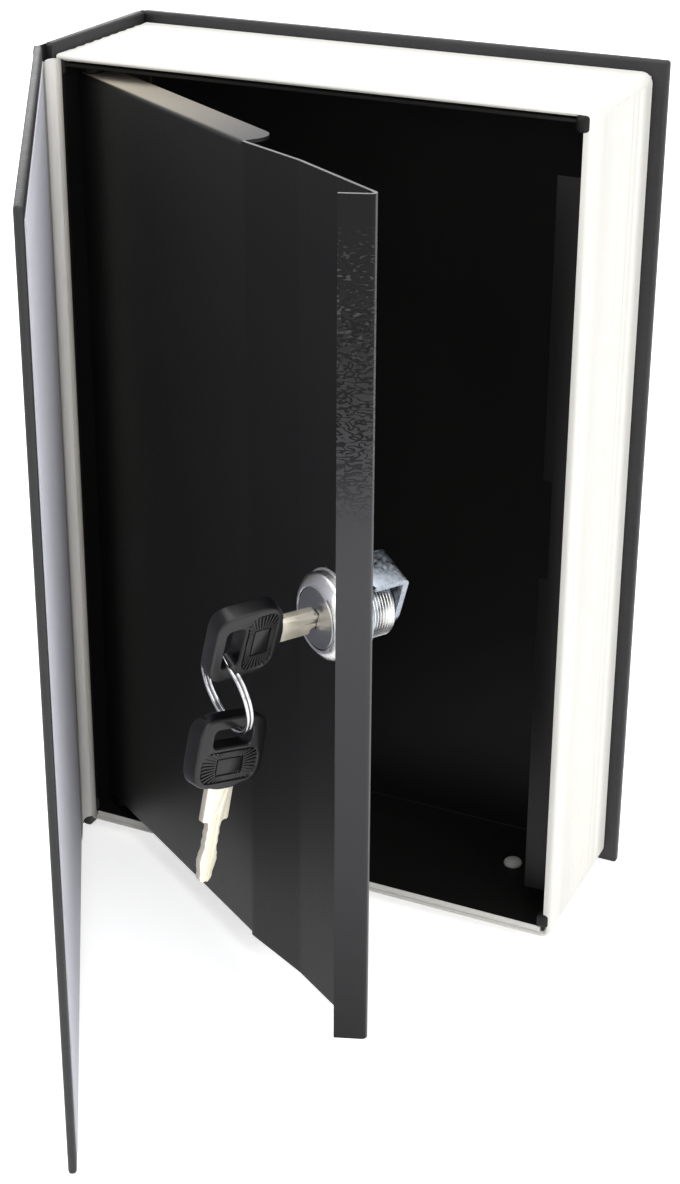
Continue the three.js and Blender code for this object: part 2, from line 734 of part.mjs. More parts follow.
function keyBow() {
  const half = bowThickness / 2;
  let bow = layer(bowShape(bowEdge), bowEdge - half, half - bowEdge, {
    bevelEnabled: true, bevelThickness: bowEdge, bevelSize: bowEdge, bevelSegments: 3,
  });
  const slotY = bowEnd + slotFromEnd + slotWidth / 2;
  const slot = roundedRectangle(
    slotY - slotWidth / 2, slotY + slotWidth / 2, -slotLength / 2, slotLength / 2, slotCorner,
  );
  bow = bow.subtract(layer(slot, -bowThickness, bowThickness));
  for (const x of [half, -half - 1]) {
    bow = bow.subtract(layer(slot, x, x + 1, {
      bevelEnabled: true, bevelThickness: slotEdge, bevelSize: slotEdge, bevelSegments: 1,
    }));
  }
  const recess = roundedRectangle(
    slotY + slotWidth / 2 + recessFromSlot, bowStart - recessFromBlade,
    -recessWidth / 2, recessWidth / 2, recessCorner,
  );
  bow = bow.subtract(layer(recess, half - recessDepth, bowThickness));
  bow = bow.subtract(layer(recess, -bowThickness, recessDepth - half));
  const thick = bladeThickness / 2 + seatGap / 2;
  const tall = bladeShoulderWidth / 2 + seatGap / 2;
  return bow.subtract(block(-thick, thick, bowStart - bladeTang - seatGap / 2, bowStart + 1, -tall, tall));
}

// The wire runs twice round: on one side, across to the other in a short stretch, and on.
class RingCurve extends THREE.Curve {
  getPoint(t) {
    const turns = 0.13 + t * 1.74;
    const cross = THREE.MathUtils.smoothstep(turns, 0.9, 1.1);
    const angle = turns * 2 * Math.PI;
    return new THREE.Vector3(
      ringRadius * Math.cos(angle), (cross - 0.5) * wirePitch, ringRadius * Math.sin(angle),
    );
  }
}

function ringWire() {
  const section = new THREE.Shape();
  for (let k = 0; k < wireSides; k += 1) {
    const angle = 2 * Math.PI * k / wireSides;
    const [x, y] = [wireRadius * Math.cos(angle), wireRadius * Math.sin(angle)];
    if (k === 0) section.moveTo(x, y); else section.lineTo(x, y);
  }
  return solid(new THREE.ExtrudeGeometry(section, {
    steps: 2 * ringSteps, bevelEnabled: false, extrudePath: new RingCurve(),
  }));
}

// The least gap between the ring's two turns, from points more than a third of a turn apart.
function ringSelfGap() {
  const count = 400;
  const curve = new RingCurve();
  const points = Array.from({ length: count + 1 }, (_, i) => curve.getPoint(i / count));
  const apart = Math.round(count / 5);
  let least = Infinity;
  for (let i = 0; i <= count; i += 1) {
    for (let j = i + apart; j <= count; j += 1) least = Math.min(least, points[i].distanceTo(points[j]));
  }
  return least - 2 * wireRadius;
}

function makeKeys() {
  piece(turning, 'key_blade', 'nickel', keyBlade());
  piece(turning, 'key_bow', 'bow', keyBow());

  // The ring hangs round the bar between the bow's slot and its lower edge, about the bar's middle.
  const bowLow = -bowWidth / 2;
  const barHigh = -slotLength / 2;
  const barZ = (bowLow + barHigh) / 2;
  const barHalf = [(barHigh - bowLow) / 2, bowThickness / 2];
  const barReach = Math.max(
    Math.hypot(barHalf[0] - bowEdge, barHalf[1] - bowEdge) + bowEdge,
    Math.hypot(barHalf[0] - slotEdge, barHalf[1]),
    Math.hypot(barHalf[0], barHalf[1] - slotEdge),
  );
  const slotY = bowEnd + slotFromEnd + slotWidth / 2;
  const hang = ringRadius - wireRadius - barReach - barGap;
  const ring = new THREE.Group();
  ring.position.set(barZ * Math.sin(keyTurn * rad), slotY, barZ * Math.cos(keyTurn * rad));
  ring.rotation.set(ringLean * rad, 0, ringTurn * rad, 'ZYX');
  lock.add(ring);
  const loop = piece(ring, 'split_ring', 'spring', ringWire());
  loop.position.set(0, 0, -hang);

  // The spare key hangs on the foot of the ring, by the bar at the outer end of its slot.
  const spare = new THREE.Group();
  const foot = new THREE.Vector3(0, 0, -hang - ringRadius);
  foot.applyEuler(ring.rotation);
  spare.position.copy(ring.position).add(foot);
  spare.rotation.set(-Math.PI / 2 - spareLean * rad, 0, spareTurn * rad, 'ZYX');
  lock.add(spare);
  const hookY = bowEnd + slotFromEnd + wireRadius + hangGap;
  const blade = piece(spare, 'spare_key_blade', 'nickel', keyBlade());
  const bow = piece(spare, 'spare_key_bow', 'bow', keyBow());
  for (const mesh of [blade, bow]) mesh.position.set(0, -hookY, spareOffset);
}

makeCovers();
makePageBlock();
makeBox();
makeHingePins();
makeDoor();
makeLock();
makePlug();
makeWafers();
makeCam();
makeKeys();
console.log(`split ring: least gap to itself ${ringSelfGap().toFixed(2)} mm`);

export default safe;
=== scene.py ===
# %% [markdown]
# # A book safe in Blender
#
# From outside this is a hardback book. Inside the moulded page block sits a folded steel box with a steel
# door, a cam lock, a key in the lock and a spare key on a split ring. The imported model says where every
# piece is and how it moves. This lesson gives each piece its real form and its real finish.

# %% Load the imported model and keep its meshes
import math
import random

import bmesh
import bpy
from mathutils import Matrix, Vector


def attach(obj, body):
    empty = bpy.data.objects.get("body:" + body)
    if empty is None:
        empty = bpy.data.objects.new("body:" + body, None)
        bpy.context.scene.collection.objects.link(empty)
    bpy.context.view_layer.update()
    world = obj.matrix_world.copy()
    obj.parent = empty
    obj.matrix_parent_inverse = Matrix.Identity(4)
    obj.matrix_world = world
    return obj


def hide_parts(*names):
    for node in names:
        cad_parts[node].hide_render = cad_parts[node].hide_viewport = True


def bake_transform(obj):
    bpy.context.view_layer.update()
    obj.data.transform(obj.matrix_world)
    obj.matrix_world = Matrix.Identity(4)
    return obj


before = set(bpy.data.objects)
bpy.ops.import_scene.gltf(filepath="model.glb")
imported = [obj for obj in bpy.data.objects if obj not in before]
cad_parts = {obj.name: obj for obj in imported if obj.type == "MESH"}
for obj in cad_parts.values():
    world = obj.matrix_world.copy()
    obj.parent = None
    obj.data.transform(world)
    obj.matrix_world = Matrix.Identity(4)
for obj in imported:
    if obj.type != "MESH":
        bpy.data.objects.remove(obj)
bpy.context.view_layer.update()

# %% [markdown]
# ## Camera
#
# The photograph was taken from above and from the right, with a fairly long lens. Its focal length and
# place come from the corners of the covers, the page block and the door. The lens is given in pixels,
# because that is what a measurement gives, and is turned into millimetres on a 36 mm sensor.

# %% Camera
MM = 0.001
photo_height = 1184
focal_pixels = 2141
middle_pixel = 500
azimuth, elevation, roll = math.radians(24.63), math.radians(23.63), math.radians(0.32)
looked_at = Vector((-3.82, -23, 111.75))
camera_distance = 608.33

backwards = Vector((
    math.sin(azimuth) * math.cos(elevation), -math.cos(azimuth) * math.cos(elevation), math.sin(elevation),
))
level = Vector((math.cos(azimuth), math.sin(azimuth), 0))
upwards = backwards.cross(level)
right = level * math.cos(roll) + upwards * math.sin(roll)
up = upwards * math.cos(roll) - level * math.sin(roll)

camera = bpy.data.cameras.new("camera")
camera.sensor_fit = "VERTICAL"
camera.sensor_height = 36
camera.lens = 36 * focal_pixels / photo_height
camera.shift_y = (middle_pixel - photo_height / 2) / photo_height
camera.clip_start = 0.01
viewer = bpy.data.objects.new("camera", camera)
turned = Matrix((right, up, backwards)).transposed().to_4x4()
viewer.matrix_world = Matrix.Translation((looked_at + backwards * camera_distance) * MM) @ turned
bpy.context.scene.collection.objects.link(viewer)
bpy.context.scene.camera = viewer
print("lens", round(camera.lens, 1), "mm, shift", round(camera.shift_y, 3))

# %% [markdown]
# ## Materials
#
# A material is a tree of nodes. One small function adds a node with its settings. A socket given as an
# input becomes a link, and a number or colour is set on the socket itself. Colours are written as sRGB
# hex values, and Blender needs linear ones, so one function turns them.

# %% Helpers for materials
def linear(hex_colour):
    channels = [int(hex_colour[i:i + 2], 16) / 255 for i in (1, 3, 5)]
    return (*[c / 12.92 if c <= 0.04045 else ((c + 0.055) / 1.055) ** 2.4 for c in channels], 1)


def fill(tree, node, inputs):
    """Sets a node's inputs. A socket becomes a link, and a number or colour stays on the input."""
    for name, value in inputs.items():
        if isinstance(value, bpy.types.NodeSocket):
            tree.links.new(value, node.inputs[name])
        else:
            node.inputs[name].default_value = value


def add(tree, kind, inputs=None, **settings):
    node = tree.nodes.new(kind)
    for name, value in settings.items():
        setattr(node, name, value)
    fill(tree, node, inputs or {})
    return node


def new_finish(name):
    """A material, its tree, its shader and the object's coordinates."""
    material = bpy.data.materials.new(name)
    material.use_nodes = True
    tree = material.node_tree
    place = add(tree, "ShaderNodeTexCoord").outputs["Object"]
    return material, tree, tree.nodes["Principled BSDF"], place


def set_stops(ramp_node, first, last, between=()):
    """The colours of a ramp. first and last are its ends, and between holds pairs of position and colour."""
    stops = ramp_node.color_ramp.elements
    stops[0].color, stops[1].color = linear(first), linear(last)
    for position, colour in between:
        stops.new(position).color = linear(colour)
    return ramp_node.outputs["Color"]


def per_mm(size):
    return 1 / (size * MM)


finishes = {}

# %% [markdown]
# ### Leatherette
#
# The covers are grey board wrapped in PVC-coated paper with an embossed leather grain. The grain is a net
# of small pebbles about 0.7 mm across, drawn at 0.9 mm so that it shows, so it is a Voronoi pattern with
# its edges pressed in. The coating is a dark charcoal, slightly glossy, and its colour drifts a little
# over a hand's width.

# %% Leatherette
def leatherette():
    material, tree, shader, place = new_finish("embossed_leatherette")
    grain = add(tree, "ShaderNodeTexVoronoi", {
        "Vector": place, "Scale": per_mm(0.9), "Smoothness": 0.6,
    }, feature="SMOOTH_F1")
    wrinkle = add(tree, "ShaderNodeTexNoise", {"Vector": place, "Scale": per_mm(3.5), "Detail": 4.0})
    drift = add(tree, "ShaderNodeTexNoise", {"Vector": place, "Scale": per_mm(60), "Detail": 3.0})
    tone = add(tree, "ShaderNodeMapRange", {"Value": drift.outputs["Fac"], "From Min": 0.35, "From Max": 0.7})
    tint = add(tree, "ShaderNodeMix", {
        "Factor": tone.outputs["Result"], "A": linear("#141416"), "B": linear("#1d1d20"),
    }, data_type="RGBA")
    shine = add(tree, "ShaderNodeMapRange", {"Value": wrinkle.outputs["Fac"], "To Min": 0.46, "To Max": 0.62})
    low = add(tree, "ShaderNodeBump", {
        "Height": wrinkle.outputs["Fac"], "Strength": 0.25, "Distance": 0.25 * MM,
    })
    high = add(tree, "ShaderNodeBump", {
        "Height": grain.outputs["Distance"], "Strength": 0.6, "Distance": 0.12 * MM,
        "Normal": low.outputs["Normal"],
    })
    fill(tree, shader, {
        "Base Color": tint.outputs["Result"], "Roughness": shine.outputs["Result"], "IOR": 1.5,
        "Normal": high.outputs["Normal"],
    })
    return material


finishes["leatherette"] = leatherette()

# %% [markdown]
# ### Clouded finishes
#
# Paper and moulded plastic share one build: a noise of a real size drifts between two close colours, and
# the same noise gives the surface its small relief. The size is that of paper's clouds, of a moulding's
# flow marks or of a mould's spark texture.

# %% One build for paper and plastic
def clouded(name, dark, pale, size, detail, stretch, roughness, ior, strength, depth):
    """Colours in hex, size and depth in mm. stretch draws the cloud out along Z where it is under 1."""
    material, tree, shader, place = new_finish(name)
    drawn = add(tree, "ShaderNodeMapping", {"Vector": place, "Scale": (1, 1, stretch)}).outputs["Vector"]
    cloud = add(tree, "ShaderNodeTexNoise", {
        "Vector": drawn, "Scale": per_mm(size), "Detail": detail,
    }).outputs["Fac"]
    tint = add(tree, "ShaderNodeMix", {
        "Factor": cloud, "A": linear(dark), "B": linear(pale),
    }, data_type="RGBA")
    skin = add(tree, "ShaderNodeBump", {"Height": cloud, "Strength": strength, "Distance": depth * MM})
    fill(tree, shader, {
        "Base Color": tint.outputs["Result"], "Roughness": roughness, "IOR": ior,
        "Normal": skin.outputs["Normal"],
    })
    return material


# %% [markdown]
# ### Endpaper
#
# The inside of the covers is lined with smooth white offset paper, a little bluish. Paper is matt and has
# a faint cloudiness from its fibres, some 2 mm across. At the hinge the paper is glued to the page
# block's edge and creases along its height, and a painted shade turns it a warm grey towards the box.

# %% Endpaper
def endpaper_with_painted_shade():
    material, tree, shader, place = new_finish("offset_paper_painted_shade")
    # Painted shade: along X the paper is painted from white to a warm grey towards the box's edge.
    along = add(tree, "ShaderNodeSeparateXYZ", {"Vector": place}).outputs["X"]
    across = add(tree, "ShaderNodeMapRange", {"Value": along, "From Min": -0.0757, "From Max": -0.0725})
    tone = add(tree, "ShaderNodeValToRGB", {"Fac": across.outputs["Result"]})
    drawn_out = add(tree, "ShaderNodeMapping", {"Vector": place, "Scale": (1, 1, 0.03)}).outputs["Vector"]
    crease = add(tree, "ShaderNodeTexNoise", {
        "Vector": drawn_out, "Scale": per_mm(1.2), "Detail": 3.0,
    })
    fold = add(tree, "ShaderNodeBump", {
        "Height": crease.outputs["Fac"], "Strength": 0.8, "Distance": 0.3 * MM,
    })
    fill(tree, shader, {
        "Base Color": set_stops(tone, "#fbfaf8", "#a5a098", [(0.55, "#f4f2ec")]),
        "Roughness": 0.7, "Normal": fold.outputs["Normal"],
    })
    return material


finishes["liner"] = clouded("white_offset_paper", "#dcdce8", "#e9e9f2", 2.2, 5.0, 1, 0.7, 1.5, 0.3, 0.05)
finishes["gutter"] = endpaper_with_painted_shade()

# %% [markdown]
# ### Moulded page block
#
# The pages are one injection moulding in cream polystyrene. It is smooth and a little glossy, and its
# page lines are real grooves in the mesh. The noise only gives the faint flow marks of the moulding, some
# 6 mm wide and longer upwards.

# %% Moulded polystyrene
finishes["pages"] = clouded("moulded_polystyrene", "#f0eee7", "#f6f5f0", 6, 4.0, 0.12, 0.42, 1.55, 0.15, 0.1)

# %% [markdown]
# ### Powder coat
#
# Box and door are mild steel with a black powder coat. The powder melts into a skin with orange peel,
# which is a soft waviness about 1.6 mm across. On what faces up, such as the flange at the door's top, a
# painted highlight turns the coat a pale grey-brown that fades away from the hinge, so it follows the Z of
# the normal and the X of the place. The coat is rougher there too.

# %% Powder coat
powder_roughness = 0.42


def powder_coat(name, painted_top_light=False):
    material, tree, shader, place = new_finish(name)
    wave = add(tree, "ShaderNodeTexNoise", {"Vector": place, "Scale": per_mm(1.6), "Detail": 2.0})
    spread = add(tree, "ShaderNodeTexNoise", {"Vector": place, "Scale": per_mm(45), "Detail": 2.0})
    colour = add(tree, "ShaderNodeMix", {
        "Factor": spread.outputs["Fac"], "A": linear("#141414"), "B": linear("#1b1b1a"),
    }, data_type="RGBA").outputs["Result"]
    roughness = powder_roughness
    # Painted highlight: faces that look up are painted a pale grey-brown, palest near the hinge, and made
    # rougher.
    if painted_top_light:
        normal = add(tree, "ShaderNodeNewGeometry").outputs["Normal"]
        upward = add(tree, "ShaderNodeSeparateXYZ", {"Vector": normal}).outputs["Z"]
        lies = add(tree, "ShaderNodeMapRange", {
            "Value": upward, "From Min": 0.8, "From Max": 0.98,
        }).outputs["Result"]
        side = add(tree, "ShaderNodeSeparateXYZ", {"Vector": place}).outputs["X"]
        away = add(tree, "ShaderNodeMapRange", {"Value": side, "From Min": -0.062, "From Max": 0.003})
        top_light_ramp = add(tree, "ShaderNodeValToRGB", {"Fac": away.outputs["Result"]})
        colour = add(tree, "ShaderNodeMix", {
            "Factor": lies, "A": colour, "B": set_stops(top_light_ramp, "#b5ad9c", "#5c5c5e"),
        }, data_type="RGBA").outputs["Result"]
        roughness = add(tree, "ShaderNodeMapRange", {
            "Value": lies, "To Min": powder_roughness, "To Max": 0.75,
        }).outputs["Result"]
    peel = add(tree, "ShaderNodeBump", {
        "Height": wave.outputs["Fac"], "Strength": 0.35, "Distance": 0.12 * MM,
    })
    fill(tree, shader, {
        "Base Color": colour, "Roughness": roughness, "IOR": 1.29, "Normal": peel.outputs["Normal"],
    })
    return material


finishes["powder"] = powder_coat("black_powder_coat")
finishes["painted_top_light"] = powder_coat("powder_coat_painted_top_light", painted_top_light=True)

# %% [markdown]
# On the door's lip the powder went on thick. Between 150 and 220 mm above the ground its skin drew
# together in drops with furrows between them, some 1.3 mm apart and longer across than upwards. The
# furrows are painted near black as shade. A furrow is where a noise crosses its middle value. Higher up
# only small raised specks are left, each with a painted highlight, and lower down the coat is smooth. A
# painted light and shade by height makes the coat dark at the top, greyer lower down and darker at the
# bottom, and a painted highlight pales the fold's outer line. Z in the object's coordinates is the height,
# in metres.

# %% Thick powder coat
def thick_powder():
    material, tree, shader, place = new_finish("thick_powder_coat")
    height = add(tree, "ShaderNodeSeparateXYZ", {"Vector": place}).outputs["Z"]
    wide = add(tree, "ShaderNodeMapping", {"Vector": place, "Scale": (0.6, 0.6, 1.25)}).outputs["Vector"]
    field = add(tree, "ShaderNodeTexNoise", {
        "Vector": wide, "Scale": per_mm(1.25), "Detail": 0.0, "Distortion": 0.6,
    }).outputs["Fac"]
    speck_noise = add(tree, "ShaderNodeTexNoise", {
        "Vector": wide, "Scale": per_mm(0.75), "Detail": 0.0,
    }).outputs["Fac"]

    def between(low, high, source=height):
        """0 below low and 1 above high, or the other way round where low is the higher one."""
        return add(tree, "ShaderNodeMapRange", {
            "Value": source, "From Min": low, "From Max": high,
        }).outputs["Result"]

    def reckoned(operation, *values):
        result = values[0]
        for value in values[1:]:
            result = add(tree, "ShaderNodeMath", {0: result, 1: value}, operation=operation).outputs["Value"]
        return result

    def over(colour, hex_colour, amount):
        return add(tree, "ShaderNodeMix", {
            "Factor": amount, "A": colour, "B": linear(hex_colour),
        }, data_type="RGBA").outputs["Result"]

    # Painted light and shade by height: dark at the top, greyer lower down and darker again at the bottom.
    shade = add(tree, "ShaderNodeValToRGB", {"Fac": between(0.005, 0.225)})
    shade = set_stops(shade, "#1f1f20", "#080808", [
        (0.25, "#363638"), (0.6, "#434345"), (0.75, "#3c3c3e"), (0.86, "#222222"), (0.94, "#0c0c0c"),
    ])
    offset = reckoned("SUBTRACT", field, 0.5)
    away = add(tree, "ShaderNodeMath", {0: offset}, operation="ABSOLUTE").outputs["Value"]
    furrow = reckoned("MULTIPLY", between(0.095, 0.05, away), between(0.152, 0.174), between(0.222, 0.202))
    speck = reckoned("MULTIPLY", between(0.63, 0.7, speck_noise), between(0.185, 0.2), between(0.225, 0.214))
    normal = add(tree, "ShaderNodeNewGeometry").outputs["Normal"]
    sideways = add(tree, "ShaderNodeSeparateXYZ", {"Vector": normal}).outputs["X"]
    # Painted shade: the furrows between the drops are painted near black.
    colour = over(shade, "#020202", furrow)
    # Painted highlights on the raised specks.
    colour = over(colour, "#444446", speck)
    # Painted highlight along the fold's outer line, where the normal turns towards +X.
    colour = over(colour, "#5c5c5e", between(0.88, 0.95, sideways))
    drop = add(tree, "ShaderNodeBump", {
        "Height": reckoned("SUBTRACT", speck, furrow), "Strength": 1.0, "Distance": 0.3 * MM,
    })
    fill(tree, shader, {
        "Base Color": colour, "Roughness": 0.36, "IOR": 1.27, "Normal": drop.outputs["Normal"],
    })
    return material


finishes["drops"] = thick_powder()

# %% [markdown]
# ### Metals
#
# A metal's colour is its reflection, so what tells them apart is tint and roughness. The lock's collar
# and barrel are bright chrome, and the plug is satin nickel, with a grinding haze that is drawn at 0.8 mm
# so that it shows. The cam, nut and washers are zinc-plated steel with a bluish mottle of about 1 mm. The
# blades are nickel silver with a grain drawn out along them, the wafers rolled brass, and the ring and
# springs nickel-plated wire. Noise between two tints, with its own roughness, gives the mottle.

# %% Metals
def metal(name, dark, pale, smooth, rough, mottle, relief=0.2, drawn=None):
    """mottle is in mm. drawn is a pair of rotation and scale, for marks that run one way."""
    material, tree, shader, place = new_finish(name)
    if drawn:
        place = add(tree, "ShaderNodeMapping", {
            "Vector": place, "Rotation": drawn[0], "Scale": drawn[1],
        }).outputs["Vector"]
    cloud = add(tree, "ShaderNodeTexNoise", {
        "Vector": place, "Scale": per_mm(mottle), "Detail": 5.0,
    }).outputs["Fac"]
    tint = add(tree, "ShaderNodeMix", {
        "Factor": cloud, "A": linear(dark), "B": linear(pale),
    }, data_type="RGBA")
    blur = add(tree, "ShaderNodeMapRange", {
        "Value": cloud, "From Min": 0.3, "From Max": 0.7, "To Min": smooth, "To Max": rough,
    })
    fill(tree, shader, {
        "Base Color": tint.outputs["Result"], "Roughness": blur.outputs["Result"], "Metallic": 1,
    })
    if relief:
        skin = add(tree, "ShaderNodeBump", {"Height": cloud, "Strength": relief, "Distance": 0.02 * MM})
        fill(tree, shader, {"Normal": skin.outputs["Normal"]})
    return material


blade_run = ((0, 0, -math.radians(34)), (1, 0.1, 1))
finishes["chrome"] = metal("polished_chrome", "#ececec", "#f4f4f2", 0.18, 0.3, 4)
finishes["satin"] = metal("satin_nickel", "#96979c", "#a9aaaf", 0.28, 0.4, 0.8)
finishes["zinc"] = metal("zinc_plated_steel", "#656f7c", "#bcc3ca", 0.24, 0.45, 1.1)
finishes["brass"] = metal("rolled_brass", "#b8954c", "#cfae68", 0.25, 0.4, 1.2)
finishes["spring"] = metal("nickel_plated_wire", "#b9babd", "#e2e2e2", 0.08, 0.2, 1.5)
finishes["nickel"] = metal("nickel_silver", "#ebe3ce", "#f5f0e3", 0.45, 0.55, 0.6, 0, blade_run)

# %% [markdown]
# ### Moulded plastics
#
# The key bows are injection-moulded ABS, nearly black, with the fine spark-eroded texture of their mould,
# which is about 0.1 mm and drawn at 0.35 mm so that it shows. The rivets on the box's floor are natural
# nylon, a cloudy grey-white.

# %% Plastics
finishes["bow"] = clouded("moulded_abs", "#0a0a0c", "#131315", 0.35, 3.0, 1, 0.32, 1.44, 0.5, 0.03)
finishes["plastic"] = clouded("natural_nylon", "#b9b9b6", "#d2d2cf", 0.8, 3.0, 1, 0.5, 1.44, 0.5, 0.03)
print("finishes:", ", ".join(finishes))

# %% [markdown]
# ## Mesh helpers
#
# Each piece is drawn in millimetres, in the place where it is simplest: the door's pieces as if the door
# were straight, and the key's as if it lay along Y. The last step moves the mesh to its real place and
# turns it into metres. A hole is a Boolean cut, because it leaves a true edge that a bevel can soften.

# %% Helpers for meshes
def box(low, high):
    bm = bmesh.new()
    low, high = Vector(low), Vector(high)
    place = Matrix.Translation((low + high) / 2) @ Matrix.Diagonal((*(high - low), 1))
    bmesh.ops.create_cube(bm, size=1, matrix=place)
    return bm


def shift(bm, made, way):
    """Moves the vertices that an operator made."""
    bmesh.ops.translate(bm, vec=way, verts=[v for v in made if isinstance(v, bmesh.types.BMVert)])


def raised(points, rise):
    """A closed outline of 3-D points, raised along a vector."""
    bm = bmesh.new()
    face = bm.faces.new([bm.verts.new(point) for point in points])
    shift(bm, bmesh.ops.extrude_face_region(bm, geom=[face])["geom"], rise)
    return bm


def drawn_sheet(points, run):
    """A path of 3-D points, drawn along a vector into a sheet of no thickness."""
    bm = bmesh.new()
    verts = [bm.verts.new(point) for point in points]
    edges = [bm.edges.new(pair) for pair in zip(verts, verts[1:])]
    shift(bm, bmesh.ops.extrude_edge_only(bm, edges=edges)["geom"], run)
    bmesh.ops.recalc_face_normals(bm, faces=bm.faces)
    return bm


def lathe(profile, steps=72):
    """A profile of radius and y, spun about the Y axis. It closes on itself or on the axis."""
    bm = bmesh.new()
    verts = [bm.verts.new((r, y, 0)) for r, y in profile]
    edges = [bm.edges.new(pair) for pair in zip(verts, verts[1:])]
    if profile[0][0] > 0:
        edges.append(bm.edges.new((verts[-1], verts[0])))
    bmesh.ops.spin(bm, geom=verts + edges, cent=(0, 0, 0), axis=(0, 1, 0), angle=2 * math.pi, steps=steps,
                   use_merge=True)
    bmesh.ops.remove_doubles(bm, verts=bm.verts, dist=1e-4)
    return bm


def rod(radius, start, end, steps=48):
    """A cylinder from one point to another."""
    bm = bmesh.new()
    start, end = Vector(start), Vector(end)
    turn = (end - start).to_track_quat("Z", "Y").to_matrix().to_4x4()
    bmesh.ops.create_cone(bm, cap_ends=True, segments=steps, radius1=radius, radius2=radius,
                          depth=(end - start).length, matrix=Matrix.Translation((start + end) / 2) @ turn)
    return bm


def arc(x, y, radius, start, end, steps=6):
    """Points on an arc, with its angles in degrees."""
    angles = [math.radians(start + (end - start) * k / steps) for k in range(steps + 1)]
    return [(x + radius * math.cos(a), y + radius * math.sin(a)) for a in angles]


def rounded_rectangle(x0, x1, y0, y1, radius):
    left, right, low, high = x0 + radius, x1 - radius, y0 + radius, y1 - radius
    return (arc(right, high, radius, 0, 90) + arc(left, high, radius, 90, 180)
            + arc(left, low, radius, 180, 270) + arc(right, low, radius, 270, 360))


def tapered(low, high):
    """A solid between two outlines of as many 3-D points."""
    bm = bmesh.new()
    loops = [[bm.verts.new(point) for point in points] for points in (low, high)]
    count = len(low)
    for k in range(count):
        following = (k + 1) % count
        bm.faces.new((loops[0][k], loops[0][following], loops[1][following], loops[1][k]))
    for loop in loops:
        bm.faces.new(loop)
    bmesh.ops.recalc_face_normals(bm, faces=bm.faces)
    return bm


def swept(centres, outwards, radius, sides=12):
    """A round wire along points. outwards holds a unit vector at each point that is square to the wire."""
    bm = bmesh.new()
    rings = []
    angles = [2 * math.pi * s / sides for s in range(sides)]
    for k, centre in enumerate(centres):
        along = (centres[min(k + 1, len(centres) - 1)] - centres[max(k - 1, 0)]).normalized()
        side = along.cross(outwards[k]).normalized()
        out = side.cross(along)
        rings.append([
            bm.verts.new(centre + radius * (math.cos(a) * out + math.sin(a) * side)) for a in angles
        ])
    for here, there in zip(rings, rings[1:]):
        for s in range(sides):
            t = (s + 1) % sides
            bm.faces.new((here[s], here[t], there[t], there[s]))
    bm.faces.new(rings[0])
    bm.faces.new(rings[-1])
    return bm


def rounded(bm, radius, segments=3, least=30, keep=lambda edge: True):
    """Rounds the edges whose two faces meet at more than an angle in degrees."""
    bmesh.ops.recalc_face_normals(bm, faces=bm.faces)
    angle = math.radians(least)
    folds = [e for e in bm.edges if len(e.link_faces) == 2 and e.calc_face_angle(0) > angle]
    bmesh.ops.bevel(bm, geom=[e for e in folds if keep(e)], offset=radius, offset_type="OFFSET",
                    segments=segments, profile=0.5, affect="EDGES", material=-1, clamp_overlap=True)
    return bm


def work_object(bm):
    bmesh.ops.recalc_face_normals(bm, faces=bm.faces)
    mesh = bpy.data.meshes.new("work")
    bm.to_mesh(mesh)
    bm.free()
    thing = bpy.data.objects.new("work", mesh)
    bpy.context.scene.collection.objects.link(thing)
    return thing


def combined(bm, others, operation="DIFFERENCE"):
    """The shape with others taken out of it, or joined to it."""
    base = work_object(bm)
    tools = [work_object(other) for other in others]
    for tool in tools:
        modifier = base.modifiers.new("cut", "BOOLEAN")
        modifier.object = tool
        modifier.operation = operation
        modifier.solver = "EXACT"
    result = bmesh.new()
    result.from_object(base, bpy.context.evaluated_depsgraph_get())
    for thing in [base, *tools]:
        mesh = thing.data
        bpy.data.objects.remove(thing)
        bpy.data.meshes.remove(mesh)
    bmesh.ops.remove_doubles(result, verts=result.verts, dist=1e-4)
    return result


def joined(shapes):
    """Shapes put side by side in one mesh, without a cut."""
    bm = bmesh.new()
    for shape in shapes:
        mesh = bpy.data.meshes.new("work")
        shape.to_mesh(mesh)
        shape.free()
        bm.from_mesh(mesh)
        bpy.data.meshes.remove(mesh)
    return bm


def piece(name, bm, body, finish, replaced=(), place=Matrix(), smooth=35):
    """A finished piece. Edges that turn by more than smooth degrees stay sharp."""
    bmesh.ops.recalc_face_normals(bm, faces=bm.faces)
    bmesh.ops.transform(bm, matrix=Matrix.Scale(MM, 4) @ place, verts=bm.verts)
    for face in bm.faces:
        face.smooth = True
    mesh = bpy.data.meshes.new(name)
    bm.to_mesh(mesh)
    bm.free()
    mesh.set_sharp_from_angle(angle=math.radians(smooth))
    mesh.materials.append(finishes[finish])
    thing = bpy.data.objects.new(name, mesh)
    bpy.context.scene.collection.objects.link(thing)
    if body:
        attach(thing, body)
    if replaced:
        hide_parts(*replaced)
    print(name, len(mesh.polygons), "faces")
    return thing


# %% [markdown]
# ## Covers
#
# A hard cover is three boards, two of them joined to the spine board by the cloth alone. The wrapped
# edges are round, because the cloth is drawn over the board's corners. The front cover stands open, so it
# is drawn closed and then turned about the fold of the cloth.

# %% The three boards
cover_height = 240
board_thickness = 2.8
edge_radius = 0.85
spine_left, fore_edge = -77.5, 77.5
spine_right = spine_left + board_thickness
front_fold = Vector((-77.1, -53.2, 0))
cover_turn = math.radians(59.35)
cover_place = Matrix.Translation(front_fold) @ Matrix.Rotation(-cover_turn, 4, "Z")


def board(x0, x1, y0, y1):
    return rounded(box((x0, y0, 0), (x1, y1, cover_height)), edge_radius, 4)


